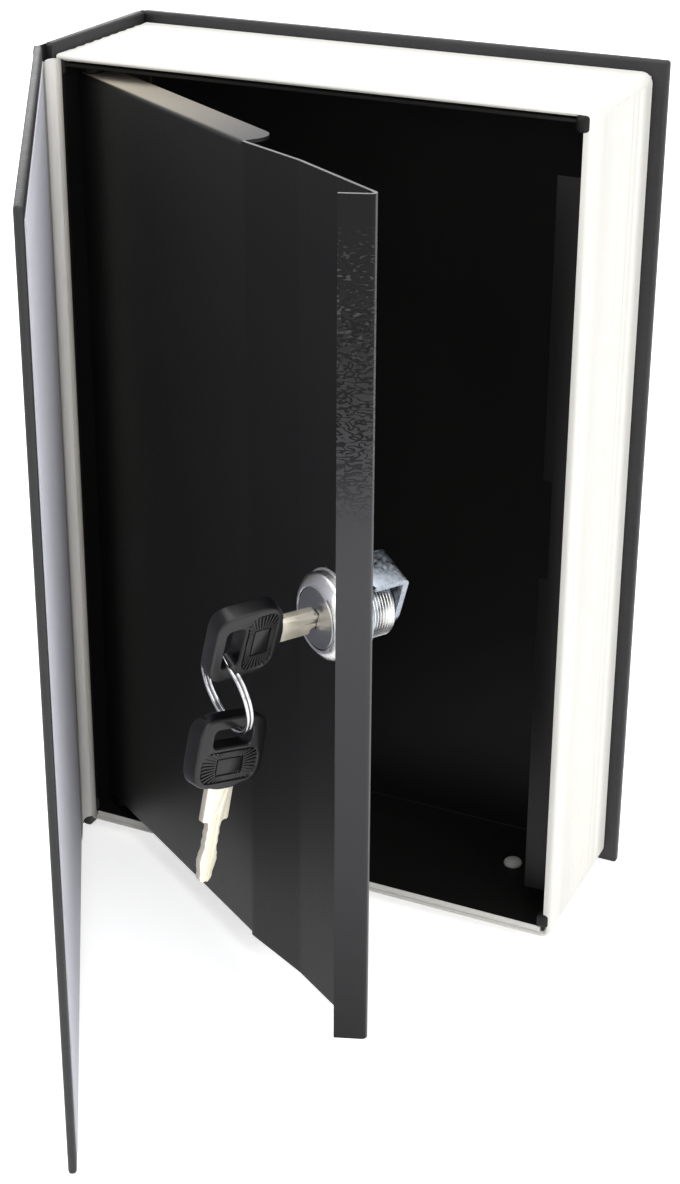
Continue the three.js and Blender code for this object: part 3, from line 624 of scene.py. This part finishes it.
back_board = board(spine_left + 1.5, fore_edge, -board_thickness / 2, board_thickness / 2)
spine_board = board(spine_left, spine_right, -50.5, -1.7)
front_board = board(1.1, 154.6, -1.45, 0.6)
piece("back_board_wrapped", back_board, "root", "leatherette", ["back_cover_board"])
piece("spine_board_wrapped", spine_board, "root", "leatherette", ["spine_board"])
piece("front_board_wrapped", front_board, "cover", "leatherette", ["front_cover_board"], cover_place)

# %% [markdown]
# ## Cloth joints
#
# At each joint the cloth runs from the spine board's outer face round the fold and on over the cover
# board. The front one is one sheet that lies on the spine at one end and on the open cover at the other,
# and turns round the fold between them.

# %% The cloth joints
cloth_thickness = 0.35
cloth_lap = 7


def standing_sheet(path, low, high, thickness):
    """A sheet that stands along a path of x and y."""
    bm = drawn_sheet([(x, y, low) for x, y in path], (0, 0, high - low))
    bmesh.ops.solidify(bm, geom=bm.faces, thickness=thickness)
    return bm


def cloth_strip(path):
    return standing_sheet(path, edge_radius / 2, cover_height - edge_radius / 2, cloth_thickness)


def on_cover(x, y):
    point = cover_place @ Vector((x, y, 0))
    return point.x, point.y


outside = spine_left - 0.12
front_path = [(outside, y) for y in (-45.5, -50, -52.2, -53.0)]
front_path += [on_cover(x, -1.57) for x in (-0.1, 0.7, 2.6, cloth_lap)]
front_cloth = piece("front_cloth_joint", cloth_strip(front_path), None, "leatherette",
                    ["front_joint_cloth"], smooth=60)
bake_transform(front_cloth)

back_path = [(outside, y) for y in (-8, -3, 0.6)]
back_path += [(-77.3, 1.25), (-76.6, 1.52), (-74, 1.52), (-70, 1.52)]
piece("back_cloth_joint", cloth_strip(back_path), "root", "leatherette", ["back_joint_cloth"], smooth=60)

# %% [markdown]
# ## Endpapers
#
# The white liner covers the ends of the cloth, which is turned in by some 14 mm round the board. Under a
# thin paper that shows as a low step, so the liner's middle lies 0.15 mm deeper than its border.

# %% Liners
liner_low, liner_high = 4, 236
turn_in, turn_in_slope, turn_in_step = 10.5, 0.8, 0.15


def liner(x0, x1, y0, y1, side):
    """side is -1 or 1: the side in Y that is seen."""
    bm = box((x0, y0, liner_low), (x1, y1, liner_high))
    middle = (y0 + y1) / 2 * side
    seen = [f for f in bm.faces if f.calc_center_median().y * side > middle + 0.01]
    for width in (turn_in, turn_in_slope):
        bmesh.ops.inset_region(bm, faces=seen, thickness=width, use_even_offset=True)
    shift(bm, {v for f in seen for v in f.verts}, (0, -turn_in_step * side, 0))
    return bm


piece("front_endpaper", liner(2.6, 151.1, 0.6, 0.9, 1), "cover", "liner", ["front_liner"], cover_place)
piece("back_endpaper", liner(-74.5, 73.2, -1.9, -1.5, -1), "root", "liner", ["back_liner"])

# %% [markdown]
# The endpaper also bridges the joint, from the page block's edge to the liner of the open cover. It has
# one low fold on the page block's edge.

# %% The endpaper's hinge
paper_thickness = 0.12
bridge = [(-72.5, -50.42), (-73.2, -50.46), (-73.5, -50.75), (-73.8, -50.46), (-74.5, -50.7), (-75.1, -51.5)]
bridge += [(-75.4, -52.5)] + [on_cover(x, y) for x, y in ((1.6, 1.3), (3, 1.15), (7, 1.05), (13, 0.98))]
bm = standing_sheet(bridge, liner_low - 0.1, liner_high + 0.1, paper_thickness)
hinge_paper = piece("endpaper_hinge", bm, None, "gutter", smooth=80)
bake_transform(hinge_paper)

# %% [markdown]
# ## Page block
#
# The moulding imitates a stack of pages. Cutting planes across the block give it edge loops, and each
# loop is moved a little: in on the fore edge for the gaps between pages, and in and out at the spine,
# where the real stack has folded sections. The front band stays smooth, with a small chamfer at the
# opening, and its inner lips reach a little over the box's edge. The edges at the fore edge's top and
# bottom are the roundest. Each corner has a hollow for an ear of the box.

# %% The moulded page block
page_low, page_high = Vector((-74.5, -50.3, 2.7)), Vector((74, -2, 237.2))
page_wall, page_floor = 1.6, 1.2
page_corner, fore_edge_corner = 0.9, 3.0
rim_chamfer = 0.55
front_band, back_band = 6, 4.5
section_length, section_depth = 4.4, 0.5
coarse_from_y = -30
random.seed(7)


def at_fore_edge(edge):
    """True for the edges that run from front to back at the fore edge's top and bottom."""
    first, second = (v.co for v in edge.verts)
    return min(first.x, second.x) > page_high.x - 1 and abs(first.y - second.y) > 9


bm = box(page_low, page_high)
rounded(bm, fore_edge_corner, 6, keep=at_fore_edge)
rounded(bm, page_corner, 4, least=40)
grooves = []
y = page_low.y + front_band
while y < page_high.y - back_band:
    grooves.append(y)
    y += random.uniform(0.4, 0.95)
for y in grooves:
    bmesh.ops.bisect_plane(bm, geom=bm.verts[:] + bm.edges[:] + bm.faces[:], plane_co=(0, y, 0),
                           plane_no=(0, 1, 0), dist=1e-5)
print("page grooves:", len(grooves))

# %% Depth of the page lines
for vert in bm.verts:
    if any(abs(vert.co.y - y) < 1e-3 for y in grooves):
        index = min(range(len(grooves)), key=lambda k: abs(grooves[k] - vert.co.y))
        depth = random.Random(index).uniform(0.05, 0.16) * (index % 2)
        depth *= 4.5 if vert.co.y > coarse_from_y else 1.5
        at_spine = vert.co.x < page_low.x + 0.01
        at_spine_top = vert.co.x < page_low.x + 1 and vert.co.z > page_high.z - 1.2
        if vert.co.x > page_high.x - 0.01:
            vert.co.x -= depth
        elif at_spine or at_spine_top:
            vert.co.x += section_depth * abs(math.sin(math.pi * vert.co.y / section_length))
        if vert.co.z > page_high.z - 0.01:
            vert.co.z -= depth * 0.35
        elif vert.co.z < page_low.z + 0.01:
            vert.co.z += depth * 0.35

# %% The page block's opening
front = [f for f in bm.faces if f.calc_center_median().y < page_low.y + 1e-3]
for width in (page_wall - page_corner - rim_chamfer, rim_chamfer):
    bmesh.ops.inset_region(bm, faces=front, thickness=width, use_even_offset=True)
shift(bm, {v for f in front for v in f.verts}, (0, rim_chamfer, 0))
deep = bmesh.ops.extrude_face_region(bm, geom=front)["geom"]
bmesh.ops.delete(bm, geom=front, context="FACES_ONLY")
for vert in deep:
    if isinstance(vert, bmesh.types.BMVert):
        vert.co.y = page_high.y - page_floor

ear_height, ear_radius = 4.5, 1.25


def ear_box(side, end, room):
    """The rolled ear in a corner of the rim, or with some room the hollow for it."""
    x0, x1, front_y = (69.7, 73.3, -50.9) if side > 0 else (-74.1, -71.7, -50.35)
    z0 = 231.7 if end > 0 else 6.1
    low, high = Vector((x0, front_y, z0)), Vector((x1, -48.2, z0 + ear_height))
    margin = Vector((room, room, room))
    return rounded(box(low - margin, high + margin), ear_radius, 5)


def four_ears(room):
    return [ear_box(side, end, room) for side in (-1, 1) for end in (-1, 1)]


bm = combined(bm, four_ears(0.06))
side_strip = rounded(box((71.7, page_low.y, 7.5), (72.95, -49.85, 232.5)), 0.25, 3,
                     keep=lambda e: all(v.co.x < 72 for v in e.verts))
low_strip = rounded(box((-72, page_low.y, 4.55), (71.0, -49.85, 6.1)), 0.25, 3,
                    keep=lambda e: all(v.co.z > 6 for v in e.verts))
piece("page_block", joined([bm, side_strip, low_strip]), "root", "pages", ["page_shell"], smooth=28)

# %% [markdown]
# ## Steel box
#
# The box is bent from 0.8 mm sheet, so it starts as an open box of no thickness. Its bends are bevelled,
# and solidify gives it the sheet's thickness. The strike flange that the cam's hook catches is a strip
# along the right wall, with a notch for the lock's nut. A small rolled ear stands in each corner of the
# rim and reaches into the page block's hollows.

# %% The steel box
box_low, box_high = Vector((-72.9, -49.8, 5.1)), Vector((72.4, -3.4, 234.9))
box_sheet, box_bend = 0.8, 1.3
room_low, room_high = box_low.z + box_sheet, box_high.z - box_sheet
shell = box(box_low, box_high)
bmesh.ops.delete(shell, geom=[f for f in shell.faces if f.normal.y < -0.9], context="FACES")
rounded(shell, box_bend, 4)
bmesh.ops.recalc_face_normals(shell, faces=shell.faces)
bmesh.ops.solidify(shell, geom=shell.faces, thickness=box_sheet)

strike_x, strike_wall, strike_y = 62.9, 72.2, -41.9
strike_low, strike_high = room_low + 6.5, room_high - 15.5
lock_height = 123.3
notch_x, notch_half = 65.3, 14
notch_low, notch_high = lock_height - notch_half, lock_height + notch_half
strike = raised([(x, strike_y, z) for x, z in (
    (strike_x, strike_low), (strike_wall, strike_low), (strike_wall, strike_high), (strike_x, strike_high),
    (strike_x, notch_high), (notch_x, notch_high), (notch_x, notch_low), (strike_x, notch_low),
)], (0, box_sheet, 0))
rounded(strike, 0.2, 2)

piece("steel_box", joined([shell, *four_ears(0)]), "root", "powder", ["lock_box"])
piece("strike_flange", strike, "root", "powder")

# %% [markdown]
# Four nylon rivets hold the box in the page block, two in its floor and two in its roof. Each has a domed
# head 5.4 mm across and 1.8 mm high, and a short shank.

# %% Rivets
rivet_y = -23.6
shank = [(0, 1.6), (2.1, 1.6), (2.1, 0)]
dome = [(2.2, 0), (2.55, -0.15), (2.7, -0.5), (2.62, -0.9), (2.2, -1.35), (1.3, -1.68), (0, -1.8)]
rivets = [(x, end) for x in (-54.1, 52.9) for end in (-1, 1)]
for number, (x, end) in enumerate(rivets, 1):
    z = room_low + 0.1 if end < 0 else room_high - 0.1
    place = Matrix.Translation((x, rivet_y, z)) @ Matrix.Rotation(math.radians(90 * end), 4, "X")
    piece(f"rivet_{number}", lathe(shank + dome, 48), "root", "plastic", [f"shell_rivet_{number}"], place)

# %% [markdown]
# ## Door
#
# The door is one sheet. Its part by the hinge is a channel with a flange at the top and the bottom, and
# past the flanges the sheet steps in and ends in a lip that is folded back outwards. Channel, free part
# and lip are bent separately and meet flush, because a bevel rounds each bend best while the sheet is
# still a simple fold. The lip and the channel also have a finish of their own.

# %% The door's places
hinge = (-67.5, -42.4)
pin_from_edge, pin_from_face, pin_bore = 2.6, 3.1, 1.3
door_turn = math.radians(33)
door_place = (Matrix.Translation((*hinge, 0)) @ Matrix.Rotation(-door_turn, 4, "Z")
              @ Matrix.Translation((-pin_from_edge, -pin_from_face, 0)))
door_bottom, door_top = 8.6, 231.4
door_height = door_top - door_bottom
door_length = 141.1
door_sheet = 0.9
flange_end = 86.6
flange_width = 9.8
flange_corner = 5
joggle = 2.2
step_end = flange_end + 22
lip_reach, lip_height = 5, 6.6
lock_u = door_length - 16.3
lock_place = door_place @ Matrix.Translation((lock_u, 0, lock_height))
barrel_radius, barrel_flat, hole_room = 8.25, 7.25, 0.25


def folded(path, run, radius, thickness):
    """A path of points drawn along a vector into a folded sheet with round bends, then thickened."""
    bm = drawn_sheet(path, run)
    rounded(bm, radius, 5, least=3)
    bmesh.ops.recalc_face_normals(bm, faces=bm.faces)
    bmesh.ops.solidify(bm, geom=bm.faces, thickness=thickness)
    return bm


def span(bm, axis):
    values = [v.co[axis] for v in bm.verts]
    return round(min(values), 2), round(max(values), 2)


# %% The door's channel
channel = folded([
    (0, flange_width, door_bottom), (0, 0, door_bottom), (0, 0, door_top), (0, flange_width, door_top),
], (flange_end, 0, 0), 1.5, door_sheet)
print("channel y", span(channel, 1), "z", span(channel, 2))
plan = [(0, -1), (flange_end, -1)]
plan += arc(flange_end - flange_corner, flange_width - flange_corner, flange_corner, 0, 90)
plan += arc(flange_corner, flange_width - flange_corner, flange_corner, 90, 180)
kept = raised([(x, y, door_bottom - 1) for x, y in plan], (0, 0, door_height + 2))
channel = combined(channel, [kept], "INTERSECT")
pin_ends = [(pin_from_edge, pin_from_face, z) for z in (door_bottom - 1, door_top + 1)]
channel = combined(channel, [rod(pin_bore, *pin_ends, 32)])
piece("door_channel", channel, "door", "painted_top_light", ["door_panel"], door_place)

# %% The door's free part and its lip
seam = door_length - 3
free_plan = [(flange_end, 0), (flange_end + 1, 0), (step_end, joggle), (seam, joggle)]
free = folded([(x, y, door_bottom) for x, y in free_plan], (0, 0, door_height), 0.9, -door_sheet)
print("free part y", span(free, 1))
hole_flat = barrel_flat + hole_room
hole = combined(rod(barrel_radius + hole_room, (lock_u, 0, lock_height), (lock_u, 5, lock_height)), [
    box((lock_u - 9, -1, lock_height - hole_flat), (lock_u + 9, 6, lock_height + hole_flat)),
], "INTERSECT")
piece("door_free_part", combined(free, [hole]), "door", "powder", place=door_place)

lip_plan = [(seam, joggle), (door_length, joggle), (door_length - lip_reach, joggle - lip_height)]
lip = folded([(x, y, door_bottom) for x, y in lip_plan], (0, 0, door_height), 1.3, -door_sheet)
print("lip x", span(lip, 0), "y", span(lip, 1))
piece("door_lip", lip, "door", "drops", place=door_place)

# %% [markdown]
# The door turns on two pins that are riveted in the box's floor and roof. A thick washer under each end
# keeps the door off the box.

# %% Hinge pins and washers
upright = Matrix.Translation((*hinge, 0)) @ Matrix.Rotation(math.radians(90), 4, "X")
top_pin = [(0, 229.2), (1.7, 229.2), (1.9, 229.4), (1.9, 230.2), (1.1, 230.2), (1.1, 234.9), (0, 234.9)]
low_pin = [(r, cover_height - z) for r, z in top_pin]
top_washer = [(1.3, 231.7), (2.7, 231.7), (2.9, 231.9), (2.9, 233.6), (2.7, 233.8), (1.3, 233.8)]
low_washer = [(r, cover_height - z) for r, z in top_washer]
turned_parts = {
    "hinge_pin_top": top_pin, "hinge_pin_bottom": low_pin,
    "hinge_washer_top": top_washer, "hinge_washer_bottom": low_washer,
}
for name, profile in turned_parts.items():
    piece(name + "_turned", lathe(profile, 32), "root", "powder", [name], upright)

# %% [markdown]
# ## Cam lock
#
# The lock's housing is one casting: a domed collar outside and a threaded barrel through the door, with a
# flat at its top and one at its bottom. The plug turns in it and carries the cam on a square. A wafer
# lock holds its plug by thin brass plates that springs push out, and the right key lines them up.

# %% The collar
plug_radius, plug_bore = 5.6, 5.75
collar = [
    (7.95, -0.95), (7.95, -3.12), (8.03, -3.2), (8.5, -3.2), (8.78, -3.1), (9.6, -2.52), (10.35, -1.85),
    (10.92, -1.15), (11.1, -0.7), (11.1, 0.95), (11.2, 1.12), (11.6, 1.2), (11.7, 1.32), (11.7, 2.05),
    (plug_bore, 2.05), (plug_bore, -0.95),
]
piece("lock_collar", lathe(collar, 96), "door", "chrome", ["lock_housing"], lock_place)


# %% The threaded barrel
def threaded_rod(radius, depth, pitch, low, high, steps=48):
    """A rod about Y. Its ridges are one helix, because the profile rises by a pitch in each turn."""
    bm = bmesh.new()
    count = 2 * math.ceil((high - low) / pitch) + 6
    columns = []
    for i in range(steps):
        angle = 2 * math.pi * i / steps
        column = []
        for j in range(count):
            r = radius - depth * (j % 2)
            y = low + pitch * (j / 2 - 1.5 + i / steps)
            column.append(bm.verts.new((r * math.cos(angle), y, r * math.sin(angle))))
        columns.append(column)
    for here, there in zip(columns, columns[1:]):
        for j in range(count - 1):
            bm.faces.new((here[j], here[j + 1], there[j + 1], there[j]))
    for j in range(count - 3):
        bm.faces.new((columns[-1][j], columns[-1][j + 1], columns[0][j + 3], columns[0][j + 2]))
    bmesh.ops.holes_fill(bm, edges=bm.edges)
    return bm


thread_depth, thread_pitch = 0.35, 0.8
barrel_start, barrel_end = 1.9, 14.7
barrel = threaded_rod(barrel_radius, thread_depth, thread_pitch, barrel_start, barrel_end)
flats = box((-9, barrel_start, -barrel_flat), (9, barrel_end, barrel_flat))
barrel = combined(barrel, [flats], "INTERSECT")
barrel = combined(barrel, [rod(plug_bore, (0, 0, 0), (0, 17, 0), 64)])
piece("threaded_barrel", barrel, "door", "chrome", place=lock_place)

# %% Washer and nut
washer = [(8.5, 3.25), (9.8, 3.25), (10, 3.4), (10, 3.9), (9.8, 4.05), (8.5, 4.05)]
piece("lock_washer_turned", lathe(washer, 64), "door", "zinc", ["lock_washer"], lock_place)

nut_half, nut_start, nut_end = 10, 4.2, 7.2
hexagon = arc(0, 0, nut_half / math.cos(math.radians(30)), 30, 330, 5)
nut = raised([(x, nut_start, z) for x, z in hexagon], (0, nut_end - nut_start, 0))
chamfer = lathe([(0, nut_start), (nut_half, nut_start), (11.7, 5.0), (11.7, 6.4), (nut_half, nut_end),
                 (0, nut_end)], 96)
nut = combined(nut, [chamfer], "INTERSECT")
nut = combined(nut, [rod(barrel_radius + 0.1, (0, 4, 0), (0, 8, 0), 64)])
piece("lock_nut_hexagon", nut, "door", "zinc", ["lock_nut"], lock_place)

# %% The plug
key_turn = math.radians(20)
plug_place = lock_place @ Matrix.Rotation(key_turn, 4, "Y")
plug = [(0, -3.1), (7.55, -3.1), (7.8, -2.85), (7.8, -1.1), (plug_radius, -1.1), (plug_radius, 16.05),
        (0, 16.05)]
plug = combined(lathe(plug, 96), [box((-3, 15, -3), (3, 17.7, 3))], "UNION")
cuts = [box((-1.05, -4.1, -2.6), (1.05, 12.7, 2.6)), rod(2.05, (0, 13.5, 0), (0, 19, 0), 32)]
wafer_places = [-1.5 + 2.6 * k for k in range(5)]
for y in wafer_places:
    cuts.append(box((-2.75, y - 0.15, -4.75), (2.75, y + 1.15, 4.75)))
    cuts.append(box((0, y - 0.15, -1.3), (3.85, y + 1.15, 3.45)))
piece("lock_plug_turned", combined(plug, cuts), "plug", "satin", ["lock_plug"], plug_place)

# %% [markdown]
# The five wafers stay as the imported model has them, in brass. Each plain rod beside them becomes a coiled
# spring of seven turns.

# %% Wafers and springs
for k in range(1, 6):
    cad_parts[f"wafer_{k}"].material_slots[0].material = finishes["brass"]

coils, coil_radius, coil_wire = 7, 0.39, 0.11
coil_low, coil_length, coil_x = -1.04, 2.98, 3.225
coil_steps = 16
for k, y in enumerate(wafer_places):
    centres, outwards = [], []
    for step in range(coils * coil_steps + 1):
        angle = 2 * math.pi * step / coil_steps
        out = Vector((math.cos(angle), math.sin(angle), 0))
        rise = coil_low + coil_length * step / (coils * coil_steps)
        centres.append(Vector((coil_x, y + 0.5, rise)) + coil_radius * out)
        outwards.append(out)
    piece(f"wafer_coil_{k + 1}", swept(centres, outwards, coil_wire, 6), "plug", "spring",
          [f"wafer_spring_{k + 1}"], plug_place)

# %% [markdown]
# The cam is stamped from 1.6 mm strip and bent forwards at its end into a hook, which goes behind the
# strike flange when the key turns. A washer and a cross-head screw hold it on the plug's square.

# %% Cam, washer and screw
bend = [(16.2, -7), (17.8, -7)] + arc(16.0, 10.2, 1.8, 0, 90) + [(7.6, 12.0), (7.6, 10.4)]
bend += arc(15.9, 10.1, 0.3, 90, 0)
cam = raised([(-7, y, z) for y, z in bend], (14, 0, 0))
front_view = [(5.8, 0), (5.8, 13), (-5.8, 13), (-5.8, 0)] + arc(0, 0, 5.8, 190, 350, 16)
above_view = [(7, 19), (-7, 19), (-7, 9.1)] + arc(-4.3, 9.1, 1.5, 180, 270)
above_view += arc(4.3, 9.1, 1.5, 270, 360) + [(7, 9.1)]
cam = combined(cam, [raised([(x, 5, z) for x, z in front_view], (0, 15, 0))], "INTERSECT")
cam = combined(cam, [raised([(x, y, -8) for x, y in above_view], (0, 0, 22))], "INTERSECT")
cam = combined(cam, [box((-3.15, 15, -3.15), (3.15, 19, 3.15))])
piece("cam_hook", rounded(cam, 0.2, 2, least=50), "plug", "zinc", ["cam"], plug_place)

washer = [(2.1, 17.9), (3.9, 17.9), (4.0, 18.0), (4.0, 18.3), (3.9, 18.4), (2.1, 18.4)]
piece("cam_washer_turned", lathe(washer, 48), "plug", "zinc", ["cam_washer"], plug_place)
screw = [(0, 13.8), (1.9, 13.8), (1.9, 18.5), (3.1, 18.5), (3.1, 18.9), (2.7, 19.35), (1.8, 19.6), (0, 19.65)]
screw = lathe(screw, 48)
for a, b in ((1.9, 0.35), (0.35, 1.9)):
    screw = combined(screw, [box((-a, 18.9, -b), (a, 22, b))])
piece("cam_screw_cross", screw, "plug", "zinc", ["cam_screw"], plug_place)

# %% [markdown]
# ## Keys and ring
#
# Both keys are the same: a nickel silver blade, cut along both edges, in a moulded bow. Each face of the
# bow has a sunk field with fine ribs that stand out in all directions from a small bare plate. One key is
# in the lock. A split ring of not quite two turns hangs in its slot, and the spare hangs on the ring.

# %% The key's blade
def blade_half_width(y):
    """The blade narrows behind its shoulder, bulges before its tip and has shallow cuts."""
    half_width = 1.95 - 0.1 * math.cos(2 * math.pi * y / 2.4)
    bulge = min(max((y - 3.4) / 1.2, 0), 1) * min(max((8.6 - y) / 1.4, 0), 1)
    return half_width + 0.55 * bulge * bulge * (3 - 2 * bulge)


def key_blade():
    edge = [(-19.6, 4), (-4.9, 4), (-4.5, 3.7), (-4.5, 2.8), (-4.2, 2.3)]
    edge += [(y / 4, blade_half_width(y / 4)) for y in range(-15, 42)]
    edge += [(10.9, 1.75), (11.4, 1.45), (11.85, 0.95), (12.1, 0.4)]
    outline = edge + [(y, -z) for y, z in reversed(edge)]
    blade = raised([(-0.85, y, z) for y, z in outline], (1.7, 0, 0))
    grooves = [box((x, -6.4, -0.65), (x + 1, 13, 0.65)) for x in (0.4, -1.4)]
    return rounded(combined(blade, grooves), 0.1, 2, least=50)


# %% The key's bow
def quadratic(a, b, c, steps=8):
    """A curve from a to c that heads for b, without its last point."""
    points = []
    for t in [k / steps for k in range(steps)]:
        weights = ((1 - t) ** 2, 2 * t * (1 - t), t * t)
        points.append(tuple(sum(w * p[axis] for w, p in zip(weights, (a, b, c))) for axis in (0, 1)))
    return points


bow_half, bow_far, bow_near = 10.7, -32.4, -13.6
bow_face, sunk_face = 2.5, 2.0
slot, slot_corner = (-29.4, -24.7, -6.2, 6.2), 1.4
field, field_corner = (-23.7, -15.7, -8.9, 8.9), 3
rib_count = 52


def grown(rectangle, amount, radius, x):
    y0, y1, z0, z1 = rectangle
    around = rounded_rectangle(y0 - amount, y1 + amount, z0 - amount, z1 + amount, radius + amount)
    return [(x, y, z) for y, z in around]


def ribs(side):
    """Fine ribs round a bare plate, on one side's sunk field."""
    middle = Vector(((field[0] + field[1]) / 2, 0))
    half_sizes = Vector(((field[1] - field[0]) / 2 - 0.35, (field[3] - field[2]) / 2 - 0.35))
    bare = Vector((2.35, 4.2))
    shapes = []
    for k in range(rib_count):
        angle = 2 * math.pi * (k + 0.5) / rib_count
        along = Vector((math.cos(angle), math.sin(angle)))
        start = min(bare[i] / abs(along[i]) for i in range(2))
        end = min(half_sizes[i] / abs(along[i]) for i in range(2))
        if end - start < 0.8:
            continue
        rib = box((-0.15, start, -0.2), (0.38, end, 0.2))
        turn = Matrix.Rotation(angle, 4, "X")
        ground = Matrix.Translation((side * sunk_face, *middle))
        bmesh.ops.transform(rib, matrix=ground @ turn, verts=rib.verts)
        shapes.append(rib)
    plate = box((-0.3, -1.9, -3.8), (0.3, 1.9, 3.8))
    bmesh.ops.translate(plate, vec=(side * sunk_face, *middle), verts=plate.verts)
    return shapes + [rounded(plate, 0.12, 2)]


def key_bow():
    half = quadratic((bow_far, 0), (bow_far, 0), (bow_far, bow_half - 5.5), 2)
    half += quadratic((bow_far, bow_half - 5.5), (bow_far, bow_half), (bow_far + 5.5, bow_half))
    half += quadratic((bow_near - 6.6, bow_half), (bow_near - 0.6, bow_half), (bow_near - 0.6, bow_half - 6))
    half += quadratic((bow_near - 0.6, bow_half - 6), (bow_near + 0.2, bow_half / 2 - 3), (bow_near, 0))
    outline = half + [(bow_near, 0)] + [(y, -z) for y, z in reversed(half[1:])]
    bow = raised([(-bow_face, y, z) for y, z in outline], (2 * bow_face, 0, 0))
    rounded(bow, 0.75, 4, least=60)
    bow = combined(bow, [tapered(grown(slot, 0, slot_corner, -3), grown(slot, 0, slot_corner, 3))])
    for side in (-1, 1):
        for area, corner, inner, outer, height in (
            (slot, slot_corner, -0.1, 0.35, 2.6), (field, field_corner, -0.35, 0.3, 2.65),
        ):
            ground, mouth = (grown(area, inner, corner, side * sunk_face),
                             grown(area, outer, corner, side * height))
            bow = combined(bow, [tapered(ground, mouth)])
    return joined([bow, *ribs(-1), *ribs(1)])


# %% Both keys
ring_middle = Vector((-2.89, -27.15, -7.94))
lean = Matrix.Rotation(math.radians(10), 4, "X")
spare_place = (lock_place @ Matrix.Translation(ring_middle + lean @ Vector((0, 0, -17.05)))
               @ Matrix.Rotation(math.radians(10), 4, "Z") @ Matrix.Rotation(math.radians(-103), 4, "X")
               @ Matrix.Translation((0, 28.7, -1.8)))
piece("key_blade_cut", key_blade(), "key", "nickel", ["key_blade"], plug_place)
piece("key_bow_moulded", key_bow(), "key", "bow", ["key_bow"], plug_place)
piece("spare_blade_cut", key_blade(), "spare", "nickel", ["spare_key_blade"], spare_place)
piece("spare_bow_moulded", key_bow(), "spare", "bow", ["spare_key_bow"], spare_place)

# %% The split ring
ring_radius, wire_radius, wire_pitch = 10.4, 0.48, 1.08
ring_steps = 240
centres, outwards = [], []
for k in range(ring_steps + 1):
    turns = 0.08 + 1.84 * k / ring_steps
    t = min(max((turns - 0.95) / 0.1, 0), 1)
    across = (t * t * (3 - 2 * t) - 0.5) * wire_pitch
    angle = 2 * math.pi * (turns + 0.22)
    out = Vector((math.cos(angle), 0, math.sin(angle)))
    centres.append(ring_radius * out + Vector((0, across, 0)))
    outwards.append(out)
ring = rounded(swept(centres, outwards, wire_radius, 16), 0.1, 2, least=60)
ring_place = lock_place @ Matrix.Translation(ring_middle) @ lean @ Matrix.Translation((0, 0, -6.65))
piece("split_ring_wire", ring, "ring", "spring", ["split_ring"], ring_place, smooth=50)

# %% [markdown]
# ## Floor and light
#
# The object stands on a white floor under a plain studio light. One large lamp hangs above, one stands at
# each side and a wide one behind, and all are soft. Floor and world look white to the camera, and gloss
# and glass see them so too, but they throw less light than that on the object. The floor still takes its
# shadow.

# %% Floor, world and lamps
def sharp_sight(tree):
    """1 for rays of the camera, of gloss and through glass, and 0 for the light that the surface gives."""
    rays = add(tree, "ShaderNodeLightPath").outputs
    seen = rays["Is Camera Ray"]
    for kind in ("Is Glossy Ray", "Is Transmission Ray"):
        seen = add(tree, "ShaderNodeMath", {0: seen, 1: rays[kind]}, operation="MAXIMUM").outputs["Value"]
    return seen


def floor():
    bm = bmesh.new()
    bmesh.ops.create_grid(bm, x_segments=1, y_segments=1, size=4)
    mesh = bpy.data.meshes.new("floor")
    bm.to_mesh(mesh)
    bm.free()
    thing = bpy.data.objects.new("floor", mesh)
    bpy.context.scene.collection.objects.link(thing)
    material = bpy.data.materials.new("studio_floor")
    material.use_nodes = True
    tree = material.node_tree
    glow = add(tree, "ShaderNodeMath", {0: sharp_sight(tree), 1: 0.62}, operation="MULTIPLY")
    fill(tree, tree.nodes["Principled BSDF"], {
        "Base Color": linear("#fbfbfb"), "Roughness": 0.9, "Emission Color": linear("#ffffff"),
        "Emission Strength": glow.outputs["Value"],
    })
    mesh.materials.append(material)


lit_point = Vector((0, 0, 0.12))


def lamp(name, place, size, watts):
    """A soft lamp that faces the object's middle. Its place and size are in metres."""
    light = bpy.data.lights.new(name, "AREA")
    light.shape = "RECTANGLE"
    light.size, light.size_y = size
    light.energy = watts
    thing = bpy.data.objects.new(name, light)
    turn = (Vector(place) - lit_point).to_track_quat("Z", "Y").to_matrix().to_4x4()
    thing.matrix_world = Matrix.Translation(place) @ turn
    bpy.context.scene.collection.objects.link(thing)


floor()
world = bpy.data.worlds.new("studio")
bpy.context.scene.world = world
world.use_nodes = True
tree = world.node_tree
strength = add(tree, "ShaderNodeMapRange", {"Value": sharp_sight(tree), "To Min": 0.55, "To Max": 1.0})
fill(tree, tree.nodes["Background"], {"Color": linear("#ffffff"), "Strength": strength.outputs["Result"]})
lamp("above", (0.1, -0.15, 1.3), (1.2, 1.2), 9)
lamp("right", (1.1, -0.7, 0.7), (0.8, 1.0), 5)
lamp("left", (-0.7, -1.2, 0.9), (0.8, 0.8), 5)
lamp("behind", (-1.35, 1.6, 0.95), (1.5, 0.7), 14)
bpy.context.scene.view_settings.view_transform = "Standard"
print("lamps:", len(bpy.data.lights))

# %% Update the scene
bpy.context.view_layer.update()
